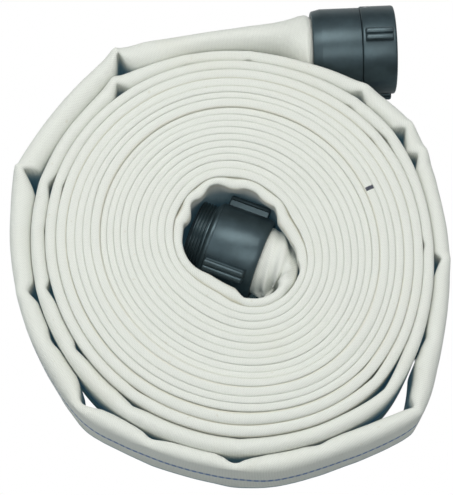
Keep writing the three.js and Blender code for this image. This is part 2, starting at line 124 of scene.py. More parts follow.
# The hole's rim in detail (angle, radius)
HOLE = [
    (0, 66.9), (12, 62.0), (24, 59.5), (34.4, 57.6), (38.9, 61.1), (43.5, 64.4), (48.1, 67.8),
    (52.1, 65.6), (57.3, 65.2), (62.7, 66.3), (68.6, 70.2), (74.2, 71.3), (79.8, 71.8),
    (85.1, 69.4), (89.9, 69.4), (95.2, 72.6), (100.7, 76.7), (106.9, 77.0), (110.6, 74.1),
    (115.3, 69.2), (119.4, 67.9), (125.1, 69.8), (129.5, 69.0), (132.3, 64.2), (136.2, 58.7),
    (140.7, 56.9), (144.9, 56.9), (148.9, 59.9), (152.9, 57.0), (158.9, 55.2), (167.6, 53.2),
    (177.7, 50.0), (190.8, 45.6), (204.5, 40.3), (219.2, 33.7), (226.5, 32.0), (233.5, 31.5),
    (246.6, 31.8), (258.5, 33.1), (269.3, 34.9), (276.1, 36.8), (278.8, 41.3), (281.5, 46.4),
    (284.8, 52.2), (286, 50.5), (300, 57.0), (315, 61.0), (330, 62.1), (345, 64.4), (360, 66.9),
]
# Outer wall of the loosely pressed outermost turn: radii every 3 degrees from 114 to 405
LOOSE_RADII = [
    259.5,260.6,261.1,258.0,255.0,253.5,251.8,250.6,249.4,248.6,248.2,248.0,248.1,248.6,249.4,
    248.2,245.2,242.1,239.2,237.2,235.4,233.9,232.2,231.0,229.8,228.9,228.5,228.3,227.9,228.1,227.4,
    227.0,227.1,227.0,227.5,229.0,229.5,230.4,230.7,230.1,228.6,226.7,225.5,224.6,223.8,223.7,223.8,
    224.0,224.6,225.4,226.5,228.0,229.5,231.0,233.0,234.6,235.5,235.8,236.4,236.8,237.8,239.2,241.1,
    243.9,246.4,249.6,252.9,256.5,258.8,256.9,253.3,249.0,244.7,241.5,238.2,235.9,233.8,232.1,230.6,
    229.7,228.5,228.1,228.0,227.4,227.5,227.4,227.5,228.1,229.1,231.1,232.5,235.1,237.2,238.5,239.7,
    241.3,240.5,239.0,
]
# The same wall with both its ends (angle, radius)
LOOSE_OUTER = [
    (110, 258.0), *zip(range(114, 406, 3), LOOSE_RADII), (410, 238.0), (415, 235.5), (420, 232.5),
    (426.8, 228.6), (430.7, 226.6), (440.3, 225.8), (450, 225.8), (459.6, 226.0), (464.4, 226.8),
    (469.2, 228.1), (474.1, 230.1), (479, 232.0), (482.9, 233.7), (484.9, 231.8), (488.9, 228.6),
    (498.9, 223.0),
]
# Inner wall of the outermost turn, with its folds (angle, radius)
LOOSE_INNER = [
    (110, 253.0), (118.5, 254.4), (119.2, 254.0), (120.3, 245.2), (121.5, 238.7), (122.7, 233.6),
    (123.7, 233.3), (128.9, 228.4), (138.9, 222.8), (149.1, 219.0), (155.5, 218.1), (156.2, 225.0),
    (156.6, 233.5), (157.2, 240.0), (158.3, 233.6), (159.3, 228.8), (160.9, 222.4), (163.1, 216.7),
    (169.7, 213.6), (180.1, 209.3), (186.9, 208.3), (188.5, 209.0), (189.8, 212.8), (190.9, 215.7),
    (191.8, 214.8), (193.1, 211.1), (194.7, 207.7), (200.9, 205.8), (202.9, 206.0), (204.6, 207.7),
    (206.4, 208.6), (208.1, 207.4), (210.1, 205.2), (213.2, 204.7), (219.2, 205.7), (221.2, 208.3),
    (223.2, 213.5), (225.2, 220.3), (226.4, 221.7), (227.4, 221.0), (229.2, 217.0), (231.5, 211.6),
    (234.5, 208.9), (238.1, 207.6), (242.0, 207.9), (244.4, 209.4), (246.4, 212.7), (247.6, 213.3),
    (248.8, 212.4), (250.7, 210.3), (253.2, 208.9), (258.5, 208.8), (261.3, 209.8), (265.2, 211.6),
    (267.6, 215.7), (269.6, 221.3), (270.7, 222.1), (271.9, 221.6), (273.1, 219.1), (275.5, 216.5),
    (279.5, 214.4), (284.3, 213.6), (289.2, 215.9), (292.4, 219.4), (294.0, 220.6), (297.2, 219.2),
    (300.6, 220.3), (305.5, 224.9), (309.5, 229.7), (312.0, 233.2), (314.7, 237.9), (316.7, 242.0),
    (318.0, 246.2), (318.7, 248.2), (319.4, 241.0), (320.7, 236.2), (323.8, 230.2), (326.3, 225.0),
    (328.4, 220.8), (333.1, 218.9), (336.0, 219.7), (337.9, 216.7), (341.2, 214.1), (347.4, 211.2),
    (352.1, 210.2), (356.4, 215.1), (358.1, 218.6), (359.2, 214.5), (360.1, 209.6), (367.2, 210.1),
    (380.7, 212.5), (384.6, 213.4), (386.6, 219.1), (388.8, 225.3), (390.1, 220.1), (390.9, 215.9),
    (394.3, 223.3), (396.8, 230.9), (398.2, 224.3), (399.2, 219.2), (405.1, 219.3), (408.6, 218.6),
    (410.6, 222.9), (412.3, 227.0), (413.5, 223.6), (414.8, 219.3), (418, 216.0),
]
# Folds of the inner wall of the other turns: (start, apex, end, how far the wall is drawn out)
FOLDS = [
    (443.2, 445.1, 447.1, 2.2), (461.0, 463.0, 465.4, 1.4), (480.0, 483.2, 487.2, 13.6),
    (513.6, 519.1, 524.2, 5.6), (529.7, 532.8, 537.0, 1.2), (548.2, 551.3, 557.0, 5.9),
    (569.6, 572.4, 579.0, 4.0), (591.0, 598.1, 604.0, 3.9), (629.0, 632.0, 636.0, 1.2),
    (661.5, 677.0, 690.5, 6.2), (719.5, 722.0, 725.0, 2.0), (751.0, 757.6, 766.1, 2.6),
    (769.1, 772.1, 775.0, 2.2), (874.0, 878.0, 883.0, 1.5), (951.0, 957.0, 963.0, 1.2),
    (1028.0, 1037.2, 1046.0, 2.2), (1116.0, 1120.0, 1125.0, 1.2), (1392.0, 1397.0, 1403.0, 1.0),
]
# How far the upper edge lies above HEIGHT (turn, height)
TOP_BY_TURN = [
    (0.3, 0.0), (1.0, 0.3), (2.0, 1.0), (4.0, 1.8), (6.6, 2.6), (7.8, 2.8), (8.15, 0.4),
    (8.6, -0.4), (11, 0.3), (14, -0.5), (17, -0.2), (18.3, -0.8), (19, -1.0),
]
# How much flatter than round the edges of a closed wrap are (winding angle, share)
EDGE_FLATNESS = [(480, 0.30), (900, 0.42), (1500, 0.62), (6400, 0.66), (6700, 0.30)]


# ------------------------------------------------------------------ curves
def metres(points):
    out = np.array(points, float)
    out[..., :2] += ORIGIN
    return out / 1000.0


def smoothstep(weight):
    return weight * weight * (3 - 2 * weight)


def gaussian(reach, width):
    kernel = np.exp(-0.5 * (np.arange(-reach, reach + 1) / width) ** 2)
    return kernel / kernel.sum()


def smooth(values, width):
    return np.convolve(np.pad(values, 3 * width, mode="edge"), gaussian(3 * width, width), "valid")


def table_at(where, table):
    """Straight-line interpolation in a table of pairs."""
    return np.interp(where, *zip(*table))


def spline(knots, values, where):
    """A cubic curve through the values at the knots."""
    knots, values = np.asarray(knots, float), np.asarray(values, float)
    slope = np.gradient(values, knots)
    i = np.clip(np.searchsorted(knots, where) - 1, 0, len(knots) - 2)
    span = knots[i + 1] - knots[i]
    t = (where - knots[i]) / span
    return ((2 * t**3 - 3 * t**2 + 1) * values[i] + (t**3 - 2 * t**2 + t) * span * slope[i]
            + (-2 * t**3 + 3 * t**2) * values[i + 1] + (t**3 - t**2) * span * slope[i + 1])


def wavy(seed, longest):
    """Seven seeded waves along the winding, the longest given in degrees."""
    random = np.random.default_rng(seed)
    wave = np.zeros_like(WINDING)
    for i in range(7):
        frequency = 2 * math.pi / (longest / (i + 1) ** 0.8)
        wave += math.sqrt(1.0 / (i + 1)) * np.sin(WINDING * frequency + random.uniform(0, 6.28))
    return wave / 2.2


# ------------------------------------------------------------------ the winding, by its angle
STEP = 0.25
WINDING = np.arange(110.0, 7200.0 + STEP, STEP)


def at(angle, field):
    return np.interp(angle, WINDING, field)


def outer_wall():
    knots = RIM_START + RIM_STEP * np.arange(len(RIM))
    count = RIM_TURN * WRAPS
    # the hole's rim isn't a continuation of the spiral, so only the last stretch leads to it
    rim = np.where(
        WINDING < 6820,
        spline(knots[:count], RIM[:count], np.clip(WINDING, RIM_START, knots[count - 1])),
        spline(knots, RIM, np.maximum(WINDING, RIM_START)))
    loose = smooth(table_at(WINDING, LOOSE_OUTER), 3)
    wound = smoothstep(np.clip((WINDING - 486.0) / 12.0, 0, 1))
    bulge = 1.1 * np.sin(np.radians(WINDING)).clip(0, 1)
    return (loose + bulge) * (1 - wound) + rim * wound - 0.12


def hole_edge():
    """The hole's rim along the winding, with its corners softened."""
    reach = 12
    rim = table_at(np.arange(0, 360, 0.5), HOLE)
    rim = np.convolve(np.concatenate([rim[-reach:], rim, rim[:reach]]), gaussian(reach, 3.4),
                      "valid")
    return np.interp(np.mod(WINDING, 360.0), np.arange(0, 360.5, 0.5), np.append(rim, rim[0]))


def hole_share(angle):
    return np.clip((angle - HOLE_START) / HOLE_BLEND, 0, 1)


def inner_wall():
    """Lies on the next wrap in, or along the hole; opened wraps and folds draw it outwards."""
    gap, end_gap, thickest, thinnest = 0.08, 0.3, 27.0, 4.6
    share = hole_share(WINDING)
    last = (at(np.minimum(WINDING + 360, LAST - 2), OUTER) + end_gap) * (1 - share)
    inner = np.where(WINDING < HOLE_START, at(WINDING + 360, OUTER) + gap,
                     last + hole_edge() * share)
    loose = table_at(WINDING, LOOSE_INNER)
    inner = np.where(WINDING < 417, np.maximum(inner, loose), inner)
    for start, apex, end, lift in FOLDS:
        rise = np.where(WINDING < apex, (WINDING - start) / (apex - start),
                        (end - WINDING) / (end - apex)).clip(0, 1)
        inner = inner + lift * (0.75 * rise**1.5 + 0.25 * rise)
    inner = smooth(np.maximum(inner, OUTER - thickest), 1)
    return np.minimum(inner, OUTER - thinnest)


OUTER = outer_wall()
INNER = inner_wall()
# an opened section is less tall than a flat one
OPENED = smooth(np.clip((OUTER - INNER - 9.0) / 14.0, 0, 1), 4)
TOP = HEIGHT + table_at(WINDING / 360.0, TOP_BY_TURN)
TOP = TOP + 0.55 * wavy(3, 610.0) + 0.25 * wavy(5, 143.0) - 2.6 * OPENED
BOTTOM = 0.15 + 0.25 * (1 + wavy(8, 520.0).clip(-1, 1)) + 2.0 * OPENED
EDGE_WAVE = wavy(14, 190.0).clip(-1, 1)

# length of hose from the female end, for the cloth's UVs
FREE_LENGTH = 260.0
LENGTH = FREE_LENGTH + np.concatenate(
    [[0], np.cumsum(np.radians(STEP) * ((OUTER + INNER)[:-1] / 2))])


def length_at(angle):
    return at(angle, LENGTH)


def centre_of(angle):
    radius = (at(angle, OUTER) + at(angle, INNER)) / 2
    return np.stack([radius * np.cos(np.radians(angle)), radius * np.sin(np.radians(angle))], -1)


def half_thickness(angle):
    return (at(angle, OUTER) - at(angle, INNER)) / 2


def angles_between(start, end, spacing):
    """Winding angles from start to end, about the spacing in millimetres apart."""
    angle = np.arange(start, end, STEP)
    radius = at(angle, OUTER)
    run = np.concatenate([[0], np.cumsum(np.radians(STEP) * radius[:-1])])
    out = np.interp(np.linspace(0, run[-1], int(run[-1] / spacing) + 1), run, angle)
    out[-1] = end
    return out


# ------------------------------------------------------------------ sections of the hose
CAP, SIDE = 11, 9  # points on each rounded edge and on each wall


def section_template():
    """(kind, across, rise) from the foot of the outer wall up, over, down the inner and under."""
    rises = [(k + 0.5) / SIDE for k in range(SIDE)]
    turns = [math.pi * k / (CAP - 1) for k in range(CAP)]
    under = [math.pi + turn for turn in turns]
    return ([("wall", 1.0, rise) for rise in rises]
            + [("top", math.cos(turn), math.sin(turn)) for turn in turns]
            + [("wall", -1.0, 1 - rise) for rise in rises]
            + [("low", math.cos(turn), math.sin(turn)) for turn in under])


TEMPLATE = section_template()


def section(half_width, low, top, edge=1.05):
    """Stadium sections, one a row: across in half widths, and height. Edge scales the caps."""
    across, z = np.zeros((2, len(half_width), len(TEMPLATE)))
    cap = np.minimum(half_width * edge, (top - low) * 0.45)
    for j, (kind, side, rise) in enumerate(TEMPLATE):
        across[:, j] = side
        if kind == "wall":
            z[:, j] = (low + cap) + (top - low - 2 * cap) * rise
        elif kind == "top":
            z[:, j] = top - cap * (1 - rise)
        else:
            z[:, j] = low + cap * (1 + rise)
    return across, z


class Room:
    """How far out (or in) from the roll's axis the given points reach, by angle and height."""
    ANGLE, RISE = 1.5, 2.5      # size of a cell, degrees and millimetres
    AROUND, LEVELS = 240, 46
    EMPTY = -1e3

    def __init__(self, points, outermost):
        angle = np.degrees(np.arctan2(points[:, 1], points[:, 0])) % 360
        radius = np.hypot(points[:, 0], points[:, 1])
        self.sign = 1.0 if outermost else -1.0
        grid = np.full((self.AROUND, self.LEVELS), self.EMPTY)
        np.maximum.at(grid, self.cell(angle, points[:, 2]), radius * self.sign)
        # one cell of margin all round
        wide = np.maximum.reduce([np.roll(grid, k, 0) for k in (-1, 0, 1)])
        up = np.concatenate([wide[:, 1:], wide[:, -1:]], 1)
        down = np.concatenate([wide[:, :1], wide[:, :-1]], 1)
        self.grid = np.maximum.reduce([wide, up, down])

    def cell(self, angle, z):
        level = np.clip((z / self.RISE).astype(int), 0, self.LEVELS - 1)
        return (angle / self.ANGLE).astype(int) % self.AROUND, level

    def push(self, angle, radius, z, wraps):
        """How far the points of each section move to clear the room, with so many wraps between.

        wraps holds that number for each section; sections outside 0 <= number < limit stay.
        """
        number, limit, share = wraps
        column, level = self.cell(np.mod(angle, 360), z)
        reach = self.grid[np.broadcast_to(column, z.shape), level]
        margin = CLEARANCE + WRAP_PITCH * np.maximum(number, 0) + share
        need = np.where(reach > -900, reach + margin - radius * self.sign, 0.0).clip(0, None)
        need = need * ((number >= 0) & (number < limit))
        # spread softly along the winding and round the section, but never below the need
        soft = np.apply_along_axis(smooth, 0, need, 3)
        for _ in range(2):
            soft = 0.5 * soft + 0.25 * (np.roll(soft, 1, 1) + np.roll(soft, -1, 1))
        return np.maximum(soft, need)


def roll_rings(angle, core=None, rooms=None):
    """Rings of the hose in the roll at winding angles; core gives the middle, that half thick.

    rooms are the ones round the male coupling and inside the free end that the wraps keep clear.
    """
    outer_radius, inner_radius = at(angle, OUTER), at(angle, INNER)
    top, low = at(angle, TOP), at(angle, BOTTOM)
    half_width = (outer_radius - inner_radius) / 2
    if core is not None:
        across, z = section(np.full_like(half_width, core), low + 4.0, top - 7.5)
    else:
        closed = np.interp(half_width, [5.4, 9.0], [1.0, 0.0])
        flatness = table_at(angle, EDGE_FLATNESS) + 0.07 * at(angle, EDGE_WAVE)
        across, z = section(np.minimum(half_width, 12.5), low, top, 1.0 - closed * flatness)
    inner, outer = inner_radius[:, None] + 0 * z, outer_radius[:, None] + 0 * z
    angle = angle[:, None]
    # the last wrap is thin again below its soft upper edge
    below = smoothstep(np.clip((97 - z) / 30, 0, 1))
    inner = inner + hole_share(angle) * below * np.maximum(0, (outer - inner) - WRAP)
    middle, half = (outer + inner) / 2, (outer - inner) / 2
    # opened wraps narrow towards both edges
    opened = np.clip((half_width - 4.8) / 6.0, 0, 1)[:, None]
    half = half * (1 - 0.05 * opened * np.abs((z - MID_Z) / MID_Z) ** 3)
    if core is not None:
        half = np.minimum(half, core)
    radius = middle + half * across
    if rooms:
        coupling_room, free_room = rooms
        share = WRAP / 2 * (1 - across) if core is None else WRAP / 2 + 0 * across
        outside = np.floor(angle / 360.0 - 1.0)
        radius = radius - free_room.push(angle, radius, z, (outside, 8, share))
        inside = np.floor((END_FLAT - angle) / 360.0)
        radius = radius + coupling_room.push(angle, radius, z, (inside, 5, WRAP - share))
    turn = np.radians(angle)
    return np.stack([radius * np.cos(turn), radius * np.sin(turn), z], -1)


def arc_length(points):
    steps = np.linalg.norm(np.diff(points, axis=0), axis=1)
    return np.concatenate([[0], np.cumsum(steps)])


# smallest cap scale by roundness of a swept section
EDGE_BY_ROUNDNESS = [(0.0, 0.9), (0.13, 0.9), (0.24, 0.55), (0.35, 0.5), (0.8, 1.0)]


def swept(stations, count):
    """Rings through stations, and their distance along them.

    Stations are (centre x, centre y, side angle, half width, half height, centre z, roundness).
    """
    stations = np.array(stations, float)
    knots = arc_length(stations[:, :2])
    distance = np.linspace(0, knots[-1], count)
    centre_x, centre_y, side_angle, half_width, half_height, centre_z, roundness = (
        spline(knots, stations[:, k], distance) for k in range(7))
    roundness = np.clip(roundness, 0, 1)
    across, z = section(half_width, centre_z - half_height, centre_z + half_height,
                        table_at(roundness, EDGE_BY_ROUNDNESS))
    wide, tall, blend = half_width[:, None], half_height[:, None], roundness[:, None]
    x, z = across * wide, z - centre_z[:, None]
    turn = np.arctan2(z / tall, x / wide)
    x = x * (1 - blend) + wide * np.cos(turn) * blend
    z = z * (1 - blend) + tall * np.sin(turn) * blend
    rings = np.zeros((count, len(TEMPLATE), 3))
    rings[:, :, 0] = centre_x[:, None] + np.cos(np.radians(side_angle))[:, None] * x
    rings[:, :, 1] = centre_y[:, None] + np.sin(np.radians(side_angle))[:, None] * x
    rings[:, :, 2] = centre_z[:, None] + z
    return rings, distance


def wrinkle(rings, amount, seed, along, around, weight):
    """Soft folds: nine seeded waves move the points to and from the middle of their ring."""
    rows, columns = rings.shape[:2]
    outward = rings - rings.mean(axis=1, keepdims=True)
    outward /= np.linalg.norm(outward, axis=2, keepdims=True) + 1e-9
    random = np.random.default_rng(seed)
    i = np.arange(rows)[:, None] / rows
    j = np.arange(columns)[None, :] / columns
    wave = np.zeros((rows, columns))
    for _ in range(9):
        lengthwise = random.uniform(0.4, 1.0) * along
        crosswise = round(random.uniform(0.4, 1.0) * around)
        phase = random.uniform(0, 6.28)
        wave += np.sin(2 * math.pi * (lengthwise * i + crosswise * j) + phase) / 3.0
    wave = np.sign(wave) * np.abs(wave) ** 0.8
    return rings + outward * (amount * wave * weight[:, None])[:, :, None]


# ------------------------------------------------------------------ coupling axes
Axes = namedtuple("Axes", "mouth along left up")  # along points away from the hose


def coupling_axes(mouth, heading):
    turn = math.radians(heading)
    return Axes(np.array([*mouth, AXIS_Z]),
                np.array([math.cos(turn), math.sin(turn), 0.0]),
                np.array([-math.sin(turn), math.cos(turn), 0.0]),
                np.array([0, 0, 1.0]))


def radial(axes, degrees):
    """Outward and sideways directions at an angle from straight up towards the left."""
    turn = math.radians(degrees)
    return (math.sin(turn) * axes.left + math.cos(turn) * axes.up,
            math.cos(turn) * axes.left - math.sin(turn) * axes.up)


def on_axis(axes, distance):
    """The place in plan that far from the coupling's mouth."""
    return (axes.mouth + distance * axes.along)[:2]


FEMALE = coupling_axes(FEMALE_MOUTH, FEMALE_HEADING)
MALE = coupling_axes(MALE_MOUTH, MALE_HEADING)
FEMALE_SIDE, MALE_SIDE = 90 + FEMALE_HEADING, MALE_HEADING - 90
LUG_R, LUG_WIDTH = 55.0, 14.3
MALE_LUGS = [43.5 + 120 * i for i in range(3)]      # degrees from straight up
SWIVEL_LUGS = [-2.2 + 120 * i for i in range(3)]


# ------------------------------------------------------------------ inner end
def male_tail():
    """From the last flat wrap round the sharp turn and into the male coupling."""
    start = centre_of(np.array([END_FLAT]))[0]
    stations = [
        (*start, END_FLAT % 360, half_thickness(END_FLAT), 54.6, 55.0, 0.0),
        (51.5, -41.0, 328, 5.2, 54.6, 55.0, 0.05),
        (55.6, -33.5, 341, 8.0, 53.8, 55.0, 0.30),
        (57.0, -24.0, 380, 14.0, 51.6, 55.0, 0.62),
        (55.3, -14.6, 416, 23.0, 47.6, 55.2, 0.90),
        (46.8, -2.6, 360 + MALE_SIDE - 1, 32.5, 43.0, 55.6, 1.0),
        (*on_axis(MALE, -2.5), 360 + MALE_SIDE, 36.9, 37.4, AXIS_Z, 1.0),
        (*on_axis(MALE, 9), 360 + MALE_SIDE, HOSE_R, HOSE_R, AXIS_Z, 1.0),
        (*on_axis(MALE, 42), 360 + MALE_SIDE, HOSE_R, HOSE_R, AXIS_Z, 1.0),
    ]
    rings, distance = swept(stations, 110)
    # leave the roll's last ring smoothly
    leave = smoothstep(np.clip(1 - distance / 14.0, 0, 1))
    step = roll_rings(np.array([END_FLAT]))[0] - rings[0]
    rings = rings + step[None] * leave[:, None, None]
    mouth = arc_length(np.array(stations)[:, :2])[6]
    weight = np.clip((distance - 12) / 22, 0, 1) * np.clip((mouth - distance) / 10.0, 0, 1)
    return wrinkle(rings, 3.3, seed=27, along=7.5, around=9.0, weight=weight), distance


# ------------------------------------------------------------------ free end
FREE_START = FOLD_ANGLE + 0.6


def free_end(fold_ring):
    """From the fold along the outside of the roll and into the female coupling."""
    start = centre_of(np.array([FREE_START]))[0]
    top, low = at(FOLD_ANGLE, TOP), at(FOLD_ANGLE, BOTTOM)
    stations = [
        (*start, FOLD_ANGLE, half_thickness(FREE_START), (top - low) / 2, (top + low) / 2, 0.0),
        (-118.6, 223.2, 111.0, 9.0, 54.2, 55.0, 0.05),
        (-109.0, 221.8, 103.0, 13.6, 53.8, 55.0, 0.12),
        (-93.0, 225.5, 99.0, 14.7, 53.6, 55.0, 0.20),
        (-66.0, 232.0, 96.5, 13.2, 53.6, 55.0, 0.25),
        (-34.0, 238.5, 95.0, 12.4, 53.6, 55.0, 0.30),
        (0.0, 243.4, 94.5, 13.5, 53.2, 55.0, 0.40),
        (28.0, 247.8, 95.0, 17.8, 51.8, 54.9, 0.62),
        (52.0, 250.4, 95.0, 23.0, 48.4, 54.8, 0.85),
        (68.0, 250.4, 94.0, 30.2, 44.0, 55.0, 0.98),
        (77.5, 247.8, 93.0, 37.4, 42.0, 55.2, 1.0),
        (*on_axis(FEMALE, -4), FEMALE_SIDE, 40.6, 40.9, AXIS_Z, 1.0),
        (*on_axis(FEMALE, -0.9), FEMALE_SIDE, 38.6, 38.8, AXIS_Z, 1.0),
        (*on_axis(FEMALE, 1.2), FEMALE_SIDE, 36.8, 36.8, AXIS_Z, 1.0),
        (*on_axis(FEMALE, 8), FEMALE_SIDE, HOSE_R, HOSE_R, AXIS_Z, 1.0),
        (*on_axis(FEMALE, 42), FEMALE_SIDE, HOSE_R, HOSE_R, AXIS_Z, 1.0),
    ]
    rings, distance = swept(stations, 190)
    leave = np.clip(1 - distance / 6.0, 0, 1)
    rings = rings + (fold_ring - rings[0])[None] * leave[:, None, None]
    weight = np.clip((distance - 10) / 20, 0, 1) * np.clip((206 - distance) / 26, 0, 1)
    return wrinkle(rings, 0.55, seed=33, along=3.0, around=4.0, weight=weight), distance


tail_rings, tail_distance = male_tail()
fold_angles = angles_between(FREE_START, SEAM, 1.6)[::-1]   # from the seam back to the fold
fold_rings = roll_rings(fold_angles)
free_rings, free_distance = free_end(fold_rings[-1])


# ------------------------------------------------------------------ room for the couplings
def coupling_points(axes, spans, lug_angles=()):
    """Points on a coupling: spans are (start, end, radius) along its axis."""
    spacing = 0.9
    out = []
    for start, end, radius in spans:
        for station in np.arange(start, end + 0.1, spacing):
            turn = np.radians(np.arange(0, 360, 1.5))
            circle = np.sin(turn)[:, None] * axes.left + np.cos(turn)[:, None] * axes.up
            out.append(axes.mouth + station * axes.along + radius * circle)
    for degrees in lug_angles:
        outward, sideways = radial(axes, degrees)
        for station in np.arange(9, 54.1, spacing):
            for across in np.arange(-7.2, 7.21, 0.8):
                for radius in (44.0, 48.0, 52.0, LUG_R):
                    out.append((axes.mouth + station * axes.along + across * sideways
                                + radius * outward)[None])
    return np.concatenate(out)


MALE_SPANS = [(0, 7, 44.6), (7, 55, 45.0), (55, 61, 44.4), (61, 80.3, 39.2)]
FEMALE_SPANS = [(0, 9, 46.6), (9, 53.5, 47.3), (53.5, 56.5, 48.7), (56.5, 88, 55.2),
                (88, 91.3, 48.7)]
ROOMS = (
    Room(coupling_points(MALE, MALE_SPANS, MALE_LUGS), outermost=True),
    Room(np.concatenate([coupling_points(FEMALE, FEMALE_SPANS), free_rings[14:].reshape(-1, 3)]),
         outermost=False),
)


# ------------------------------------------------------------------ materials
class ShaderNodes:
    """Short calls that add nodes to a tree and return their output sockets."""

    def __init__(self, tree):
        self.tree = tree

    def new(self, kind, **settings):
        node = self.tree.nodes.new(kind)
        for key, value in settings.items():
            setattr(node, key, value)
        return node

    def link(self, output, target):
        self.tree.links.new(output, target)

    def fill(self, target, value):
        """Links an output into an input, or sets the input; colours are RGB tuples."""
        if hasattr(value, "is_linked"):
            self.link(value, target)
        else:
            target.default_value = (*value, 1) if isinstance(value, tuple) else value

    def math(self, operation, *values):
        node = self.new("ShaderNodeMath", operation=operation)
        for target, value in zip(node.inputs, values):
            self.fill(target, value)
        return node.outputs[0]

    def add(self, first, second):
        return self.math("ADD", first, second)

    def subtract(self, first, second):
        return self.math("SUBTRACT", first, second)

    def multiply(self, first, second):
        return self.math("MULTIPLY", first, second)

    def distance(self, value, centre):
        return self.math("ABSOLUTE", self.subtract(value, centre))

    def wave(self, value, period):
        return self.math("SINE", self.multiply(value, 2 * math.pi / period))

    def mix(self, factor, first, second):
        node = self.new("ShaderNodeMix", data_type="RGBA")
        for k, value in ((0, factor), (6, first), (7, second)):
            self.fill(node.inputs[k], value)
        return node.outputs[2]

    def noise(self, vector, scale, detail=3.0, roughness=0.5):
        node = self.new("ShaderNodeTexNoise")
        node.inputs["Scale"].default_value = scale
        node.inputs["Detail"].default_value = detail
        node.inputs["Roughness"].default_value = roughness
        self.link(vector, node.inputs["Vector"])
        return node.outputs["Fac"]

    def ramp(self, value, low, high):
        """A smooth rise from 0 at low to 1 at high."""
        node = self.new("ShaderNodeMapRange", interpolation_type="SMOOTHSTEP")
        node.inputs["From Min"].default_value = low
        node.inputs["From Max"].default_value = high
        self.link(value, node.inputs["Value"])
        return node.outputs[0]

    def fade(self, value, low, high):
        """A smooth fall from 1 at low to 0 at high."""
        return self.subtract(1.0, self.ramp(value, low, high))

    def bump(self, height, strength, distance, normal=None):
        node = self.new("ShaderNodeBump")
        node.inputs["Strength"].default_value = strength
        node.inputs["Distance"].default_value = distance
        self.link(height, node.inputs["Height"])
        if normal:
            self.link(normal, node.inputs["Normal"])
        return node.outputs[0]

    def split(self, vector):
        node = self.new("ShaderNodeSeparateXYZ")
        self.link(vector, node.inputs[0])
        return node.outputs

    def uv(self, name):
        return self.split(self.new("ShaderNodeUVMap", uv_map=name).outputs[0])[:2]

    def object_place(self):
        return self.new("ShaderNodeTexCoord").outputs["Object"]


def principled_material(name):
    material = bpy.data.materials.new(name)
    material.use_nodes = True
    tree = material.node_tree
    tree.nodes.clear()
    nodes = ShaderNodes(tree)
    output = nodes.new("ShaderNodeOutputMaterial")
    shader = nodes.new("ShaderNodeBsdfPrincipled")
    nodes.link(shader.outputs[0], output.inputs[0])
    return material, nodes, shader


def tint(colour, factors):
    return tuple(c * k for c, k in zip(colour, factors))


UPPER_EDGE = 58.0   # way round the cloth from the middle of the outer wall to the upper edge


def jacket_marks(nodes, shader, place, u, v, colour, base):
    """Tan bands beside the upper edges, painted shade with a faint painted glow on the buried
    walls, the blue tracer line and one dark tick.
    """
    ends = float(length_at(END_FLAT))
    roll, buried, wound, tick = (float(length_at(a)) for a in (112.0, 470.0, 900.0, 2545.5))

    def in_roll():
        return nodes.fade(u, low=ends - 12.0, high=ends + 4.0)

    # faint tan band darkening the cloth just beside the upper edge, on the wound turns
    edge = nodes.distance(nodes.math("ABSOLUTE", v), UPPER_EDGE)
    edge_band = nodes.multiply(nodes.ramp(edge, low=4.6, high=7.0),
                           nodes.fade(edge, low=9.0, high=14.0))
    turns = nodes.multiply(nodes.ramp(u, low=wound, high=wound + 300.0), in_roll())
    colour = nodes.mix(nodes.multiply(nodes.multiply(edge_band, turns), 0.35), colour,
                       tint(base, (0.86, 0.78, 0.64)))
    # painted shade: dark grey-blue on the walls inside the roll, deepening away from the upper
    # edge, with a trace of painted glow
    inside = nodes.ramp(nodes.math("ABSOLUTE", v), low=60.0, high=64.0)
    covered = nodes.math("MAXIMUM", inside, nodes.ramp(u, low=buried, high=buried + 60.0))
    covered = nodes.multiply(covered, nodes.ramp(u, low=roll, high=roll + 20.0))
    wall = nodes.multiply(nodes.ramp(edge, low=13.0, high=46.0),
                          nodes.multiply(covered, in_roll()))
    colour = nodes.mix(nodes.multiply(wall, 0.74), colour, (0.125, 0.240, 0.285))
    # painted glow: the shaded walls give off a faint teal light
    shader.inputs["Emission Color"].default_value = (0.25, 0.72, 1.0, 1)
    nodes.link(nodes.multiply(wall, 0.028), shader.inputs["Emission Strength"])
    # tracer along the middle of the outer wall
    near = nodes.fade(nodes.distance(v, 1.0), low=3.6, high=5.2)
    dash = nodes.ramp(nodes.wave(u, period=7.0), low=-0.75, high=0.0)
    strength = nodes.add(nodes.multiply(dash, 0.38), 0.55)
    colour = nodes.mix(nodes.multiply(near, strength), colour, (0.022, 0.130, 0.38))
    # tick across the upper edge
    along = nodes.fade(nodes.distance(u, tick), low=1.7, high=2.6)
    across = nodes.fade(nodes.distance(v, UPPER_EDGE), low=5.4, high=6.4)
    smear = nodes.ramp(nodes.noise(place, scale=420.0, roughness=0.7), low=0.28, high=0.5)
    ink = nodes.add(nodes.multiply(smear, 0.5), 0.45)
    return nodes.mix(nodes.multiply(nodes.multiply(along, across), ink), colour,
                     (0.03, 0.035, 0.06))


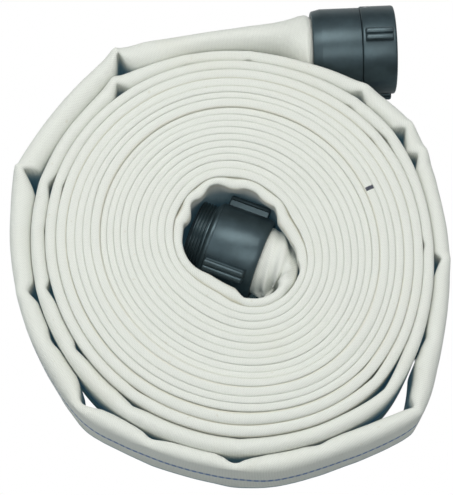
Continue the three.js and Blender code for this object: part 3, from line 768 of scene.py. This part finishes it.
def weave_material(name, base, shade, marked=False):
    """Twill with UVs in millimetres: u along the hose, v round it."""
    material, nodes, shader = principled_material(name)
    u, v = nodes.uv("cloth")
    place = nodes.object_place()
    wobble = nodes.subtract(nodes.noise(place, scale=90.0, detail=2.0), 0.5)
    along = nodes.add(u, nodes.multiply(wobble, 0.9))
    # diagonal ridges across the yarns, and the filling yarns as fine cross ribs
    diagonal = nodes.wave(nodes.add(along, nodes.multiply(v, 0.8)), period=2.1)
    ribs = nodes.wave(along, period=1.5)
    cross = nodes.multiply(ribs, nodes.wave(v, period=1.15))
    fine = nodes.noise(place, scale=1500.0, detail=2.0, roughness=0.6)
    # each layer's share of the height
    height = nodes.add(nodes.multiply(ribs, 0.34), nodes.multiply(fine, 0.5))
    height = nodes.add(nodes.multiply(cross, 0.30), height)
    height = nodes.add(nodes.multiply(diagonal, 0.30), height)
    # crumpled cloth at the scale of a hand
    crease = nodes.noise(place, scale=38.0, detail=4.0, roughness=0.55)
    crumple = nodes.bump(crease, strength=0.30, distance=0.0022)
    nodes.link(nodes.bump(height, strength=0.75, distance=0.00028, normal=crumple),
               shader.inputs["Normal"])
    # painted shade: yarn valleys darker than the tops; faint soiling in patches and specks
    colour = nodes.mix(nodes.ramp(height, low=-0.7, high=0.6), shade, base)
    patch = nodes.noise(place, scale=9.0, detail=4.0, roughness=0.6)
    soil = nodes.ramp(patch, low=0.52, high=0.78)
    colour = nodes.mix(nodes.multiply(soil, 0.16), colour, tint(base, (0.86, 0.82, 0.70)))
    speck = nodes.ramp(nodes.noise(place, scale=160.0, detail=1.0), low=0.74, high=0.80)
    colour = nodes.mix(nodes.multiply(speck, 0.22), colour, tint(base, (0.62, 0.55, 0.40)))
    if marked:
        colour = jacket_marks(nodes, shader, place, u, v, colour, base)
    nodes.link(colour, shader.inputs["Base Color"])
    shader.inputs["Roughness"].default_value = 0.82
    shader.inputs["Specular IOR Level"].default_value = 0.25
    shader.inputs["Sheen Weight"].default_value = 0.12
    shader.inputs["Sheen Roughness"].default_value = 0.5
    return material


def metal_material(name, base, roughness, wear):
    material, nodes, shader = principled_material(name)
    place = nodes.object_place()
    # fine turning marks round the axis, and a blotchy film
    lines = nodes.new("ShaderNodeTexNoise", noise_dimensions="1D")
    lines.inputs["Scale"].default_value = 3.2
    lines.inputs["Detail"].default_value = 5.0
    nodes.link(nodes.uv("turn")[1], lines.inputs["W"])
    blotch = nodes.noise(place, scale=46.0, detail=4.0, roughness=0.6)
    grain = nodes.noise(place, scale=900.0, roughness=0.7)
    height = nodes.add(nodes.multiply(lines.outputs["Fac"], 0.8), nodes.multiply(grain, 0.5))
    nodes.link(nodes.bump(height, strength=0.25, distance=0.00006), shader.inputs["Normal"])
    colour = nodes.mix(nodes.ramp(blotch, low=0.35, high=0.68), tint(base, (0.80,) * 3), base)
    # worn bright along the edges
    pointiness = nodes.new("ShaderNodeNewGeometry").outputs["Pointiness"]
    worn = nodes.ramp(pointiness, low=0.535, high=0.60)
    rubbed = nodes.multiply(nodes.ramp(grain, low=0.40, high=0.62), wear * 2)
    colour = nodes.mix(nodes.multiply(worn, rubbed), colour, (0.20, 0.24, 0.25))
    nodes.link(colour, shader.inputs["Base Color"])
    shader.inputs["Metallic"].default_value = 0.72
    nodes.link(nodes.add(nodes.multiply(blotch, 0.14), roughness - 0.07),
               shader.inputs["Roughness"])
    shader.inputs["Specular IOR Level"].default_value = 0.5
    return material


def rubber_material(name):
    material, nodes, shader = principled_material(name)
    place = nodes.object_place()
    cloudy = nodes.ramp(nodes.noise(place, scale=60.0), low=0.4, high=0.7)
    nodes.link(nodes.mix(cloudy, (0.018, 0.018, 0.02), (0.035, 0.034, 0.034)),
               shader.inputs["Base Color"])
    nodes.link(nodes.bump(nodes.noise(place, scale=1200.0), strength=0.3, distance=0.0001),
               shader.inputs["Normal"])
    shader.inputs["Roughness"].default_value = 0.7
    return material


WEAVE = weave_material("jacket_weave", base=(0.770, 0.788, 0.732), shade=(0.60, 0.625, 0.585),
                       marked=True)
INNER_WEAVE = weave_material("inner_weave", base=(0.55, 0.52, 0.44), shade=(0.42, 0.40, 0.34))
ALLOY = metal_material("coupling_alloy", base=(0.060, 0.090, 0.102), roughness=0.34, wear=0.22)
BRASS = metal_material("brass_ring", base=(0.62, 0.44, 0.18), roughness=0.34, wear=0.1)
STEEL = metal_material("bright_steel", base=(0.62, 0.63, 0.65), roughness=0.22, wear=0.05)
RUBBER = rubber_material("gasket_rubber")


# ------------------------------------------------------------------ meshes
def corners(grid):
    """The four values round each cell of a grid."""
    return np.stack([grid[:-1, :-1], grid[:-1, 1:], grid[1:, 1:], grid[1:, :-1]], -1)


def face_uvs(u, v):
    return np.stack([corners(grid) for grid in np.broadcast_arrays(u, v)], -1).reshape(-1, 2)


def ring_quads(rows, columns):
    """Faces between closed rings of vertices."""
    index = np.arange(rows * columns).reshape(rows, columns)
    return corners(np.pad(index, ((0, 0), (0, 1)), mode="wrap")).reshape(-1, 4)


def capped_faces(rows, columns):
    last = (rows - 1) * columns
    return ring_quads(rows, columns).tolist() + [
        list(range(columns - 1, -1, -1)), list(range(last, last + columns))]


def new_mesh(name, points, faces, uv_name="turn", uvs=()):
    """A mesh from points in millimetres; corners beyond the given UVs get zero."""
    mesh = bpy.data.meshes.new(name)
    mesh.from_pydata(metres(points).tolist(), [], faces)
    layer = mesh.uv_layers.new(name=uv_name)
    if len(uvs):
        rest = np.zeros((len(mesh.loops) - len(uvs), 2))
        layer.data.foreach_set("uv", np.vstack([uvs, rest]).astype(np.float32).ravel())
    return mesh


def add_object(name, mesh, material):
    mesh.materials.append(material)
    part = bpy.data.objects.new(name, mesh)
    bpy.context.scene.collection.objects.link(part)
    return part


def add_solid(name, mesh, material):
    """Adds the object with its faces turned outwards."""
    work = bmesh.new()
    work.from_mesh(mesh)
    bmesh.ops.recalc_face_normals(work, faces=work.faces)
    work.to_mesh(mesh)
    work.free()
    return add_object(name, mesh, material)


def shade(part, sharp_angle=34):
    part.data.shade_smooth()
    part.data.set_sharp_from_angle(angle=math.radians(sharp_angle))


def register(part, body, slot, *pieces):
    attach(part, body)
    for piece in pieces:
        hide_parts(piece)


def perimeter(rings):
    """Distance round each ring, measured from the middle of the outer wall."""
    steps = np.linalg.norm(np.diff(rings, axis=1, append=rings[:, :1]), axis=2)
    around = np.concatenate([np.zeros((len(rings), 1)), np.cumsum(steps, axis=1)], axis=1)
    return around - around[:, SIDE // 2][:, None]


def skin(name, rings, along, material):
    """A closed skin through rings, with UVs in millimetres of cloth."""
    mesh = new_mesh(name, rings.reshape(-1, 3), capped_faces(*rings.shape[:2]), "cloth",
                    face_uvs(along[:, None], perimeter(rings)))
    mesh.validate()
    mesh.update()
    part = add_solid(name, mesh, material)
    shade(part, 62)
    return part


def shrink(rings, depth):
    """Moves every point inwards across its section."""
    centre = rings.mean(axis=1, keepdims=True)
    offset = rings - centre
    side = rings[:, SIDE] - rings[:, SIDE + CAP - 1]
    side /= np.linalg.norm(side, axis=1, keepdims=True)
    x = (offset * side[:, None, :]).sum(2)
    z = offset[:, :, 2]
    wide, tall = np.abs(x).max(1), np.abs(z).max(1)
    scale_x, scale_z = (wide - depth) / wide, (tall - depth) / tall
    out = centre + side[:, None, :] * (x * scale_x[:, None])[:, :, None]
    out[:, :, 2] = centre[:, :, 2] + z * scale_z[:, None]
    return out


def lining(name, rings, along):
    """A thick-walled tube just inside the rings, closed between its walls at both ends."""
    outer, inner = shrink(rings, 1.4), shrink(rings, 3.4)
    rows, columns = rings.shape[:2]
    count = rows * columns
    outside = ring_quads(rows, columns)
    inside = outside[:, [0, 3, 2, 1]] + count
    walls = np.stack([outside, inside], 1).reshape(-1, 4)
    here = np.arange(columns)
    after = np.roll(here, -1)
    last = count - columns
    first_end = np.stack([here, count + here, count + after, after], -1)
    last_end = last + np.stack([here, after, count + after, count + here], -1)
    faces = np.concatenate([walls, np.stack([first_end, last_end], 1).reshape(-1, 4)])
    row, column = np.divmod(faces.ravel() % count, columns)
    uvs = np.stack([along[row], perimeter(outer)[row, column]], -1)
    points = np.concatenate([outer.reshape(-1, 3), inner.reshape(-1, 3)])
    mesh = new_mesh(name, points, faces.tolist(), "cloth", uvs)
    part = add_solid(name, mesh, INNER_WEAVE)
    shade(part, 50)
    return part


# ------------------------------------------------------------------ the hose
CUTS = [SEAM, *(turn * 360 + 250.0 for turn in (3, 8, 13)), END_FLAT]
SPACINGS = [2.2, 3.4, 3.6, 3.2]     # between rings, for each part of the roll
for k, spacing in enumerate(SPACINGS):
    part_angles = angles_between(CUTS[k], CUTS[k + 1], spacing)
    part_rings = roll_rings(part_angles, rooms=ROOMS)
    part_along = length_at(part_angles)
    if k == 3:
        part_rings = np.concatenate([part_rings, tail_rings[1:]])
        part_along = np.concatenate([part_along, part_along[-1] + tail_distance[1:]])
    wraps = skin(f"hose_wraps_{k + 1}", part_rings, part_along, WEAVE)
    register(wraps, "roll", "jacket_weave", *(["outer_jacket"] if k == 0 else []))

free_hose = skin(
    "hose_free_end", np.concatenate([fold_rings, free_rings[1:]]),
    np.concatenate([length_at(fold_angles), float(length_at(FREE_START)) - free_distance[1:]]),
    WEAVE)
fold_turn = math.radians(FOLD_ANGLE)
fold_at = metres([FOLD_RADIUS * math.cos(fold_turn), FOLD_RADIUS * math.sin(fold_turn), MID_Z])
seam_at = metres([*centre_of(np.array([SEAM]))[0], MID_Z])
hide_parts("free_end_outer_jacket")
tuple(metres([-100.0, 231.5, MID_Z]))
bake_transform(free_hose)

# lined inner jacket, one core in the roll and a tube in each coupling's end
core_angles = angles_between(SEAM + 2, END_FLAT, 9.0)
core_skin = skin("inner_jacket_in_roll", roll_rings(core_angles, core=1.75, rooms=ROOMS),
                 length_at(core_angles), INNER_WEAVE)
register(core_skin, "roll", "inner_weave", "lined_inner_jacket")
for name, rings, distance, start, body, pieces in (
    ("inner_jacket_male_end", tail_rings, tail_distance, 50, "roll", []),
    ("inner_jacket_free_end", free_rings, free_distance, 34, "free_end",
     ["free_end_lined_inner_jacket"]),
):
    first = int(np.searchsorted(distance, start))
    register(lining(name, rings[first::2], distance[first::2]), body, "inner_weave", *pieces)


# ------------------------------------------------------------------ coupling shapes
def lathe(name, axes, profile, segments, material, radius_at=None):
    """A turned body from a closed profile of (radius, distance from the mouth).

    radius_at(radius, station, turn) may vary the radius round it.
    """
    profile = np.array(profile, float)
    rows = len(profile)
    turns = 2 * math.pi * np.arange(segments) / segments
    radius = np.repeat(profile[:, :1], segments, 1)
    station = np.repeat(profile[:, 1:2], segments, 1)
    turn = np.repeat(turns[None], rows, 0)
    if radius_at is not None:
        radius = radius_at(radius, station, turn)
    points = (axes.mouth + station[..., None] * axes.along
              + (radius * np.sin(turn))[..., None] * axes.left
              + (radius * np.cos(turn))[..., None] * axes.up).reshape(-1, 3)
    index = np.arange(rows * segments).reshape(rows, segments)
    faces = corners(np.pad(index, (0, 1), mode="wrap")).reshape(-1, 4).tolist()
    run = arc_length(profile)
    run = np.append(run, run[-1] + 1)
    degrees = np.degrees(np.append(turns, turns[-1] + 2 * math.pi / segments))
    mesh = new_mesh(name, points, faces, uvs=face_uvs(degrees[None], run[:, None]))
    return add_solid(name, mesh, material)


def rounded(profile, radius, steps=3):
    """Rounds the corners of a closed profile."""
    points = [np.array(point, float) for point in profile]
    out = []
    for i, corner in enumerate(points):
        back, ahead = points[i - 1] - corner, points[(i + 1) % len(points)] - corner
        back_length, ahead_length = np.linalg.norm(back), np.linalg.norm(ahead)
        cut = min(radius, back_length * 0.4, ahead_length * 0.4)
        cosine = float(np.dot(back, ahead) / (back_length * ahead_length))
        if cut < 0.05 or cosine < -0.985:
            out.append(corner)
            continue
        start = corner + back / back_length * cut
        end = corner + ahead / ahead_length * cut
        for k in range(steps + 1):
            t = k / steps
            out.append((1 - t) ** 2 * start + 2 * t * (1 - t) * corner + t * t * end)
    return out


def lug(axes, start, length, inner_radius, degrees):
    """A rocker lug: a rounded bar along the axis with a lengthwise groove in its crest."""
    half = LUG_WIDTH / 2
    # (across, radius) round the section
    outline = [
        (-half, inner_radius), (-half, LUG_R - 5.0), (-half + 0.9, LUG_R - 4.3),
        (-half, LUG_R - 3.6), (-half + 0.25, LUG_R - 1.6), (-half + 0.75, LUG_R - 0.6),
        (-half + 1.7, LUG_R), (-1.7, LUG_R), (-0.9, LUG_R - 0.5), (0, LUG_R - 1.9),
        (0.9, LUG_R - 0.5), (1.7, LUG_R), (half - 1.7, LUG_R),
        (half - 0.75, LUG_R - 0.6), (half - 0.25, LUG_R - 1.6), (half, LUG_R - 3.6),
        (half - 0.9, LUG_R - 4.3), (half, LUG_R - 5.0), (half, inner_radius),
    ]
    # (station, drop of the crest, narrowing of each side)
    ends = [(0.0, 2.4, 0.9), (0.35, 1.15, 0.45), (1.1, 0.35, 0.12), (2.2, 0, 0)]
    stations = ends + [(length / 2, 0, 0)] + [(length - u, d, q) for u, d, q in ends[::-1]]
    outward, sideways = radial(axes, degrees)
    points = []
    for station, drop, narrowing in stations:
        for across, radius in outline:
            rise = (radius - inner_radius) / (LUG_R - inner_radius)
            points.append(axes.mouth + (start + station) * axes.along
                          + (across * (1 - narrowing / half)) * sideways
                          + (radius - drop * rise) * outward)
    mesh = new_mesh("lug", points, capped_faces(len(stations), len(outline)))
    return add_solid("lug", mesh, ALLOY)


def pin(name, axes, station, degrees, inner_radius, outer_radius, radius, material, chamfer=0):
    """A cylinder that stands out radially from the axis."""
    segments = 32
    levels = [(inner_radius, radius), (outer_radius, radius)]
    if chamfer:
        levels = [(inner_radius, radius - chamfer), (inner_radius + chamfer, radius),
                  (outer_radius - chamfer, radius), (outer_radius, radius - chamfer)]
    outward, sideways = radial(axes, degrees)
    points = []
    for level, size in levels:
        for k in range(segments):
            turn = 2 * math.pi * k / segments
            points.append(axes.mouth + station * axes.along + level * outward
                          + size * (math.cos(turn) * sideways + math.sin(turn) * axes.along))
    mesh = new_mesh(name, points, capped_faces(len(levels), segments))
    return add_solid(name, mesh, material)


def bar(axes, station, degrees, radius, width, length, height):
    """A box set across a radius of the coupling, its length along the axis."""
    outward, sideways = radial(axes, degrees)
    centre = axes.mouth + station * axes.along + radius * outward
    points = [centre + x * width / 2 * sideways + y * length / 2 * axes.along
              + z * height / 2 * outward for x, y, z in itertools.product((-1, 1), repeat=3)]
    faces = [(0, 1, 3, 2), (4, 6, 7, 5), (0, 4, 5, 1), (2, 3, 7, 6), (0, 2, 6, 4), (1, 5, 7, 3)]
    return add_solid("bar", new_mesh("bar", points, faces), STEEL)


def combine(target, tools, operation="UNION"):
    """Joins or cuts solids into target and leaves one plain mesh."""
    for tool in tools:
        modifier = target.modifiers.new("b", "BOOLEAN")
        modifier.operation = operation
        modifier.solver = "EXACT"
        modifier.object = tool
    graph = bpy.context.evaluated_depsgraph_get()
    mesh = bpy.data.meshes.new_from_object(target.evaluated_get(graph))
    target.modifiers.clear()
    target.data = mesh
    for tool in tools:
        bpy.data.objects.remove(tool, do_unlink=True)


PITCH = 3.387   # of both threads


def thread(major, minor, start, end, internal=False):
    """Radius of a right-handed V thread between two stations, running out at both ends."""
    plain = minor if internal else major

    def radius_at(radius, station, turn):
        phase = (station / PITCH + turn / (2 * math.pi)) % 1.0
        flank = np.clip((np.abs(phase - 0.5) * 2 - 0.13) / 0.74, 0, 1)
        run_out = np.clip((station - start) / 2.2, 0, 1) * np.clip((end - station) / 1.2, 0, 1)
        depth = (major - minor) * flank * run_out
        threaded = ((station > start - 0.01) & (station < end + 0.01)
                    & (np.abs(radius - plain) < 0.2))
        return np.where(threaded, plain + depth if internal else plain - depth, radius)
    return radius_at


# ------------------------------------------------------------------ couplings
# Profiles are (radius, distance from the mouth of the bowl that holds the hose)
BOWL_R, BOWL_DEPTH, WATER_R = 37.1, 47.3, 31.5
BOWL = [(BOWL_R, 0), (BOWL_R, BOWL_DEPTH), (WATER_R, BOWL_DEPTH)]
RACE_U = 60.5                       # station of the ball race
PLUG_ANGLE, PLUG_R = 57.8, 3.3      # the screw that closes the ball race


def female_shank():
    part = lathe("female_shank_body", FEMALE, rounded(BOWL + [
        (WATER_R, 67.9), (40.2, 67.9), (40.2, 64.0), (37.9, 62.9), (37.0, RACE_U), (37.9, 58.1),
        (40.2, 57.0), (40.2, 53.3), (47.3, 53.3), (47.3, 10.4), (45.0, 0.9), (43.6, 0.0),
        (37.9, 0.0),
    ], 0.45), 128, ALLOY)
    shade(part)
    register(part, "free_end", "coupling_alloy", "female_shank")


def male_shank():
    major, minor = 38.97, 36.9
    profile = BOWL + [(WATER_R, 79.4), (32.2, 80.2), (35.4, 80.2), (37.2, 79.2)]
    profile += [(major, u) for u in np.arange(78.8, 62.0, -PITCH / 10)]
    profile += [
        (major, 61.8), (41.0, 60.8), (42.2, 59.8), (43.7, 58.4), (44.2, 57.7), (44.3, 57.0),
        (44.3, 55.7), (44.0, 55.5), (44.0, 55.1), (44.7, 54.8), (45.0, 54.3), (45.0, 7.1),
        (43.6, 1.4), (43.0, 0.5), (42.2, 0.0), (37.9, 0.0),
    ]
    part = lathe("male_shank_body", MALE, profile, 144, ALLOY, thread(major, minor, 61.9, 79.0))
    combine(part, [lug(MALE, start=9.2, length=44.5, inner_radius=41.6, degrees=degrees)
                   for degrees in MALE_LUGS])
    shade(part)
    register(part, "roll", "coupling_alloy", "male_shank")


def swivel_ring():
    start, end = 53.6, 91.2
    major, minor, thread_start = 39.6, 37.9, 76.0
    profile = [
        (40.9, start), (46.6, start), (47.6, start + 0.4), (48.3, start + 1.1),
        (48.6, start + 2.0), (48.6, end - 2.2), (48.3, end - 1.1), (47.6, end - 0.35),
        (46.6, end), (40.6, end), (39.8, end - 0.3), (38.2, end - 1.9),
    ]
    profile += [(minor, u) for u in np.arange(end - 2.2, 76.2, -PITCH / 10)]
    profile += [
        (minor, thread_start), (minor, 73.6), (38.2, 73.4), (40.9, 73.4), (40.9, 64.0),
        (43.2, 63.0), (44.2, RACE_U), (43.2, 58.0), (40.9, 57.0),
    ]
    part = lathe("swivel_ring_body", FEMALE, profile, 144, ALLOY,
                 thread(major, minor, thread_start, end - 2.1, internal=True))
    combine(part, [lug(FEMALE, start=57.0, length=30.5, inner_radius=45.4, degrees=degrees)
                   for degrees in SWIVEL_LUGS])
    hole = pin("plug_hole", FEMALE, RACE_U, PLUG_ANGLE, inner_radius=43.0, outer_radius=50.0,
               radius=3.6, material=ALLOY)
    combine(part, [hole], "DIFFERENCE")
    shade(part)
    register(part, "swivel", "coupling_alloy", "swivel_ring")


def ball_plug():
    part = pin("ball_plug", FEMALE, RACE_U, PLUG_ANGLE, inner_radius=45.6, outer_radius=48.3,
               radius=PLUG_R, material=STEEL, chamfer=0.3)
    slot = bar(FEMALE, RACE_U, PLUG_ANGLE, radius=48.2, width=1.0, length=9.0, height=1.1)
    combine(part, [slot], "DIFFERENCE")
    shade(part)
    register(part, "swivel", "bright_steel", "ball_plug_screw")


def plain_ring(name, axes, radii, stations, edge, material, registration):
    """A ring of rectangular section with rounded edges."""
    (inner, outer), (start, end) = radii, stations
    profile = [(inner, start), (outer, start), (outer, end), (inner, end)]
    part = lathe(name, axes, rounded(profile, edge, 4), 96, material)
    shade(part)
    register(part, *registration)


def race_ball(number):
    """One ball of the swivel, at the place of the frame's own."""
    piece, name = f"swivel_ball_{number:02d}", f"race_ball_{number:02d}"
    low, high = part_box(piece)
    work = bmesh.new()
    bmesh.ops.create_icosphere(work, subdivisions=3, radius=3.175 / 1000)
    mesh = bpy.data.meshes.new(name)
    work.to_mesh(mesh)
    work.free()
    mesh.transform(Matrix.Translation(Vector((np.array(low) + np.array(high)) / 2)))
    mesh.uv_layers.new(name="turn")
    mesh.shade_smooth()
    register(add_object(name, mesh, STEEL), "ball_set", "bright_steel", piece)


female_shank()
male_shank()
swivel_ring()
ball_plug()
for end, axes, body in (("male", MALE, "roll"), ("female", FEMALE, "free_end")):
    plain_ring(f"{end}_expander", axes, radii=(31.2, 32.2), stations=(1.5, 42.5), edge=0.3,
               material=BRASS, registration=(body, "brass_ring", f"{end}_expansion_ring"))
    plain_ring(f"{end}_tail_seal", axes, radii=(31.8, 36.5), stations=(43.4, 46.9), edge=0.6,
               material=RUBBER, registration=(body, "gasket_rubber", f"{end}_tail_gasket"))
plain_ring("swivel_seal", FEMALE, radii=(33.0, 40.2), stations=(68.3, 73.0), edge=0.9,
           material=RUBBER, registration=("swivel", "gasket_rubber", "swivel_gasket"))
for k in range(36):
    race_ball(k + 1)


# ------------------------------------------------------------------ floor, light, camera (metres)
def floor_material():
    """A pale floor that the camera sees white, and dark with painted shade only down in the middle
    of the roll.
    """
    material, nodes, shader = principled_material("floor_paint")
    shader.inputs["Base Color"].default_value = (0.55, 0.57, 0.57, 1)
    shader.inputs["Roughness"].default_value = 0.9
    place = nodes.object_place()
    radius = nodes.new("ShaderNodeVectorMath", operation="DISTANCE")
    nodes.link(place, radius.inputs[0])
    radius.inputs[1].default_value = (ORIGIN[0] / 1000.0, ORIGIN[1] / 1000.0, 0.0)
    radius = radius.outputs["Value"]
    # the white starts nearer the roll's axis on the -Y side
    front = nodes.ramp(nodes.multiply(nodes.split(place)[1], -1.0), low=0.124, high=0.129)
    outside = nodes.math("MAXIMUM", front, nodes.ramp(radius, low=0.219, high=0.223))
    white = nodes.multiply(nodes.ramp(radius, low=0.192, high=0.196), outside)
    # painted shade: camera rays see the floor glow white, and dark grey-teal under the roll, where
    # gaps between its wraps show the floor
    glow = nodes.new("ShaderNodeEmission")
    nodes.link(nodes.mix(white, (0.020, 0.034, 0.038), (1, 1, 1)), glow.inputs[0])
    glow.inputs[1].default_value = 1.0
    seen = nodes.new("ShaderNodeLightPath").outputs["Is Camera Ray"]
    both = nodes.new("ShaderNodeMixShader")
    for target, output in zip(both.inputs, (seen, shader.outputs[0], glow.outputs[0])):
        nodes.link(output, target)
    nodes.link(both.outputs[0], nodes.tree.nodes["Material Output"].inputs[0])
    return material


def add_floor():
    half, z = 6.0, -0.0005
    mesh = bpy.data.meshes.new("floor")
    mesh.from_pydata([(-half, -half, z), (half, -half, z), (half, half, z), (-half, half, z)],
                     [], [(0, 1, 2, 3)])
    add_object("floor", mesh, floor_material())


def add_world():
    """A sky brighter towards the top and towards +Y."""
    world = bpy.data.worlds.new("studio")
    bpy.context.scene.world = world
    world.use_nodes = True
    nodes = ShaderNodes(world.node_tree)
    background = world.node_tree.nodes["Background"]
    direction = nodes.split(nodes.new("ShaderNodeTexCoord").outputs["Generated"])
    sky = nodes.ramp(direction[2], low=-0.05, high=0.95)
    nodes.link(nodes.mix(sky, (0.86, 0.95, 1.0), (0.93, 0.98, 1.0)), background.inputs[0])
    sideways = nodes.add(nodes.multiply(direction[1], 0.40), 1.0)
    upwards = nodes.add(nodes.multiply(sky, 0.52), 0.105)
    nodes.link(nodes.multiply(upwards, sideways), background.inputs[1])


def area_light(name, place, size, power, colour):
    """A rectangular light aimed at the middle of the roll's frame."""
    light = bpy.data.lights.new(name, "AREA")
    light.shape = "RECTANGLE"
    light.size, light.size_y = size
    light.energy = power
    light.color = colour
    lamp = bpy.data.objects.new(name, light)
    bpy.context.scene.collection.objects.link(lamp)
    lamp.location = place
    aim = Vector((0, 0, 0.05)) - Vector(place)
    lamp.rotation_euler = aim.to_track_quat("-Z", "Y").to_euler()


def add_camera():
    """Looks down from above, tilted a little towards +Y."""
    tilt, distance = math.radians(16.5), 2000.0
    target = np.array([-1.79, -29.948, 105.0])
    lens = bpy.data.cameras.new("camera")
    lens.lens = 139.2
    lens.sensor_width = 36.0
    lens.sensor_fit = "AUTO"
    lens.clip_end = 50
    camera = bpy.data.objects.new("camera", lens)
    bpy.context.scene.collection.objects.link(camera)
    eye = target + distance * np.array([0, -math.sin(tilt), math.cos(tilt)])
    camera.location = Vector(eye / 1000.0)
    camera.rotation_euler = (tilt, 0, 0)
    bpy.context.scene.camera = camera


add_floor()
add_world()
area_light("key", place=(-0.12, 0.84, 1.9), size=(1.6, 0.9), power=17.5,
           colour=(1.0, 0.955, 0.915))
area_light("front", place=(0.10, -0.60, 1.9), size=(1.5, 0.9), power=9.0,
           colour=(1.0, 0.98, 0.95))
area_light("fill", place=(-1.3, -0.1, 1.2), size=(1.2, 1.2), power=4.0,
           colour=(0.93, 0.97, 1.0))
add_camera()
bpy.context.scene.view_settings.view_transform = "Standard"
bpy.context.scene.view_settings.look = "None"
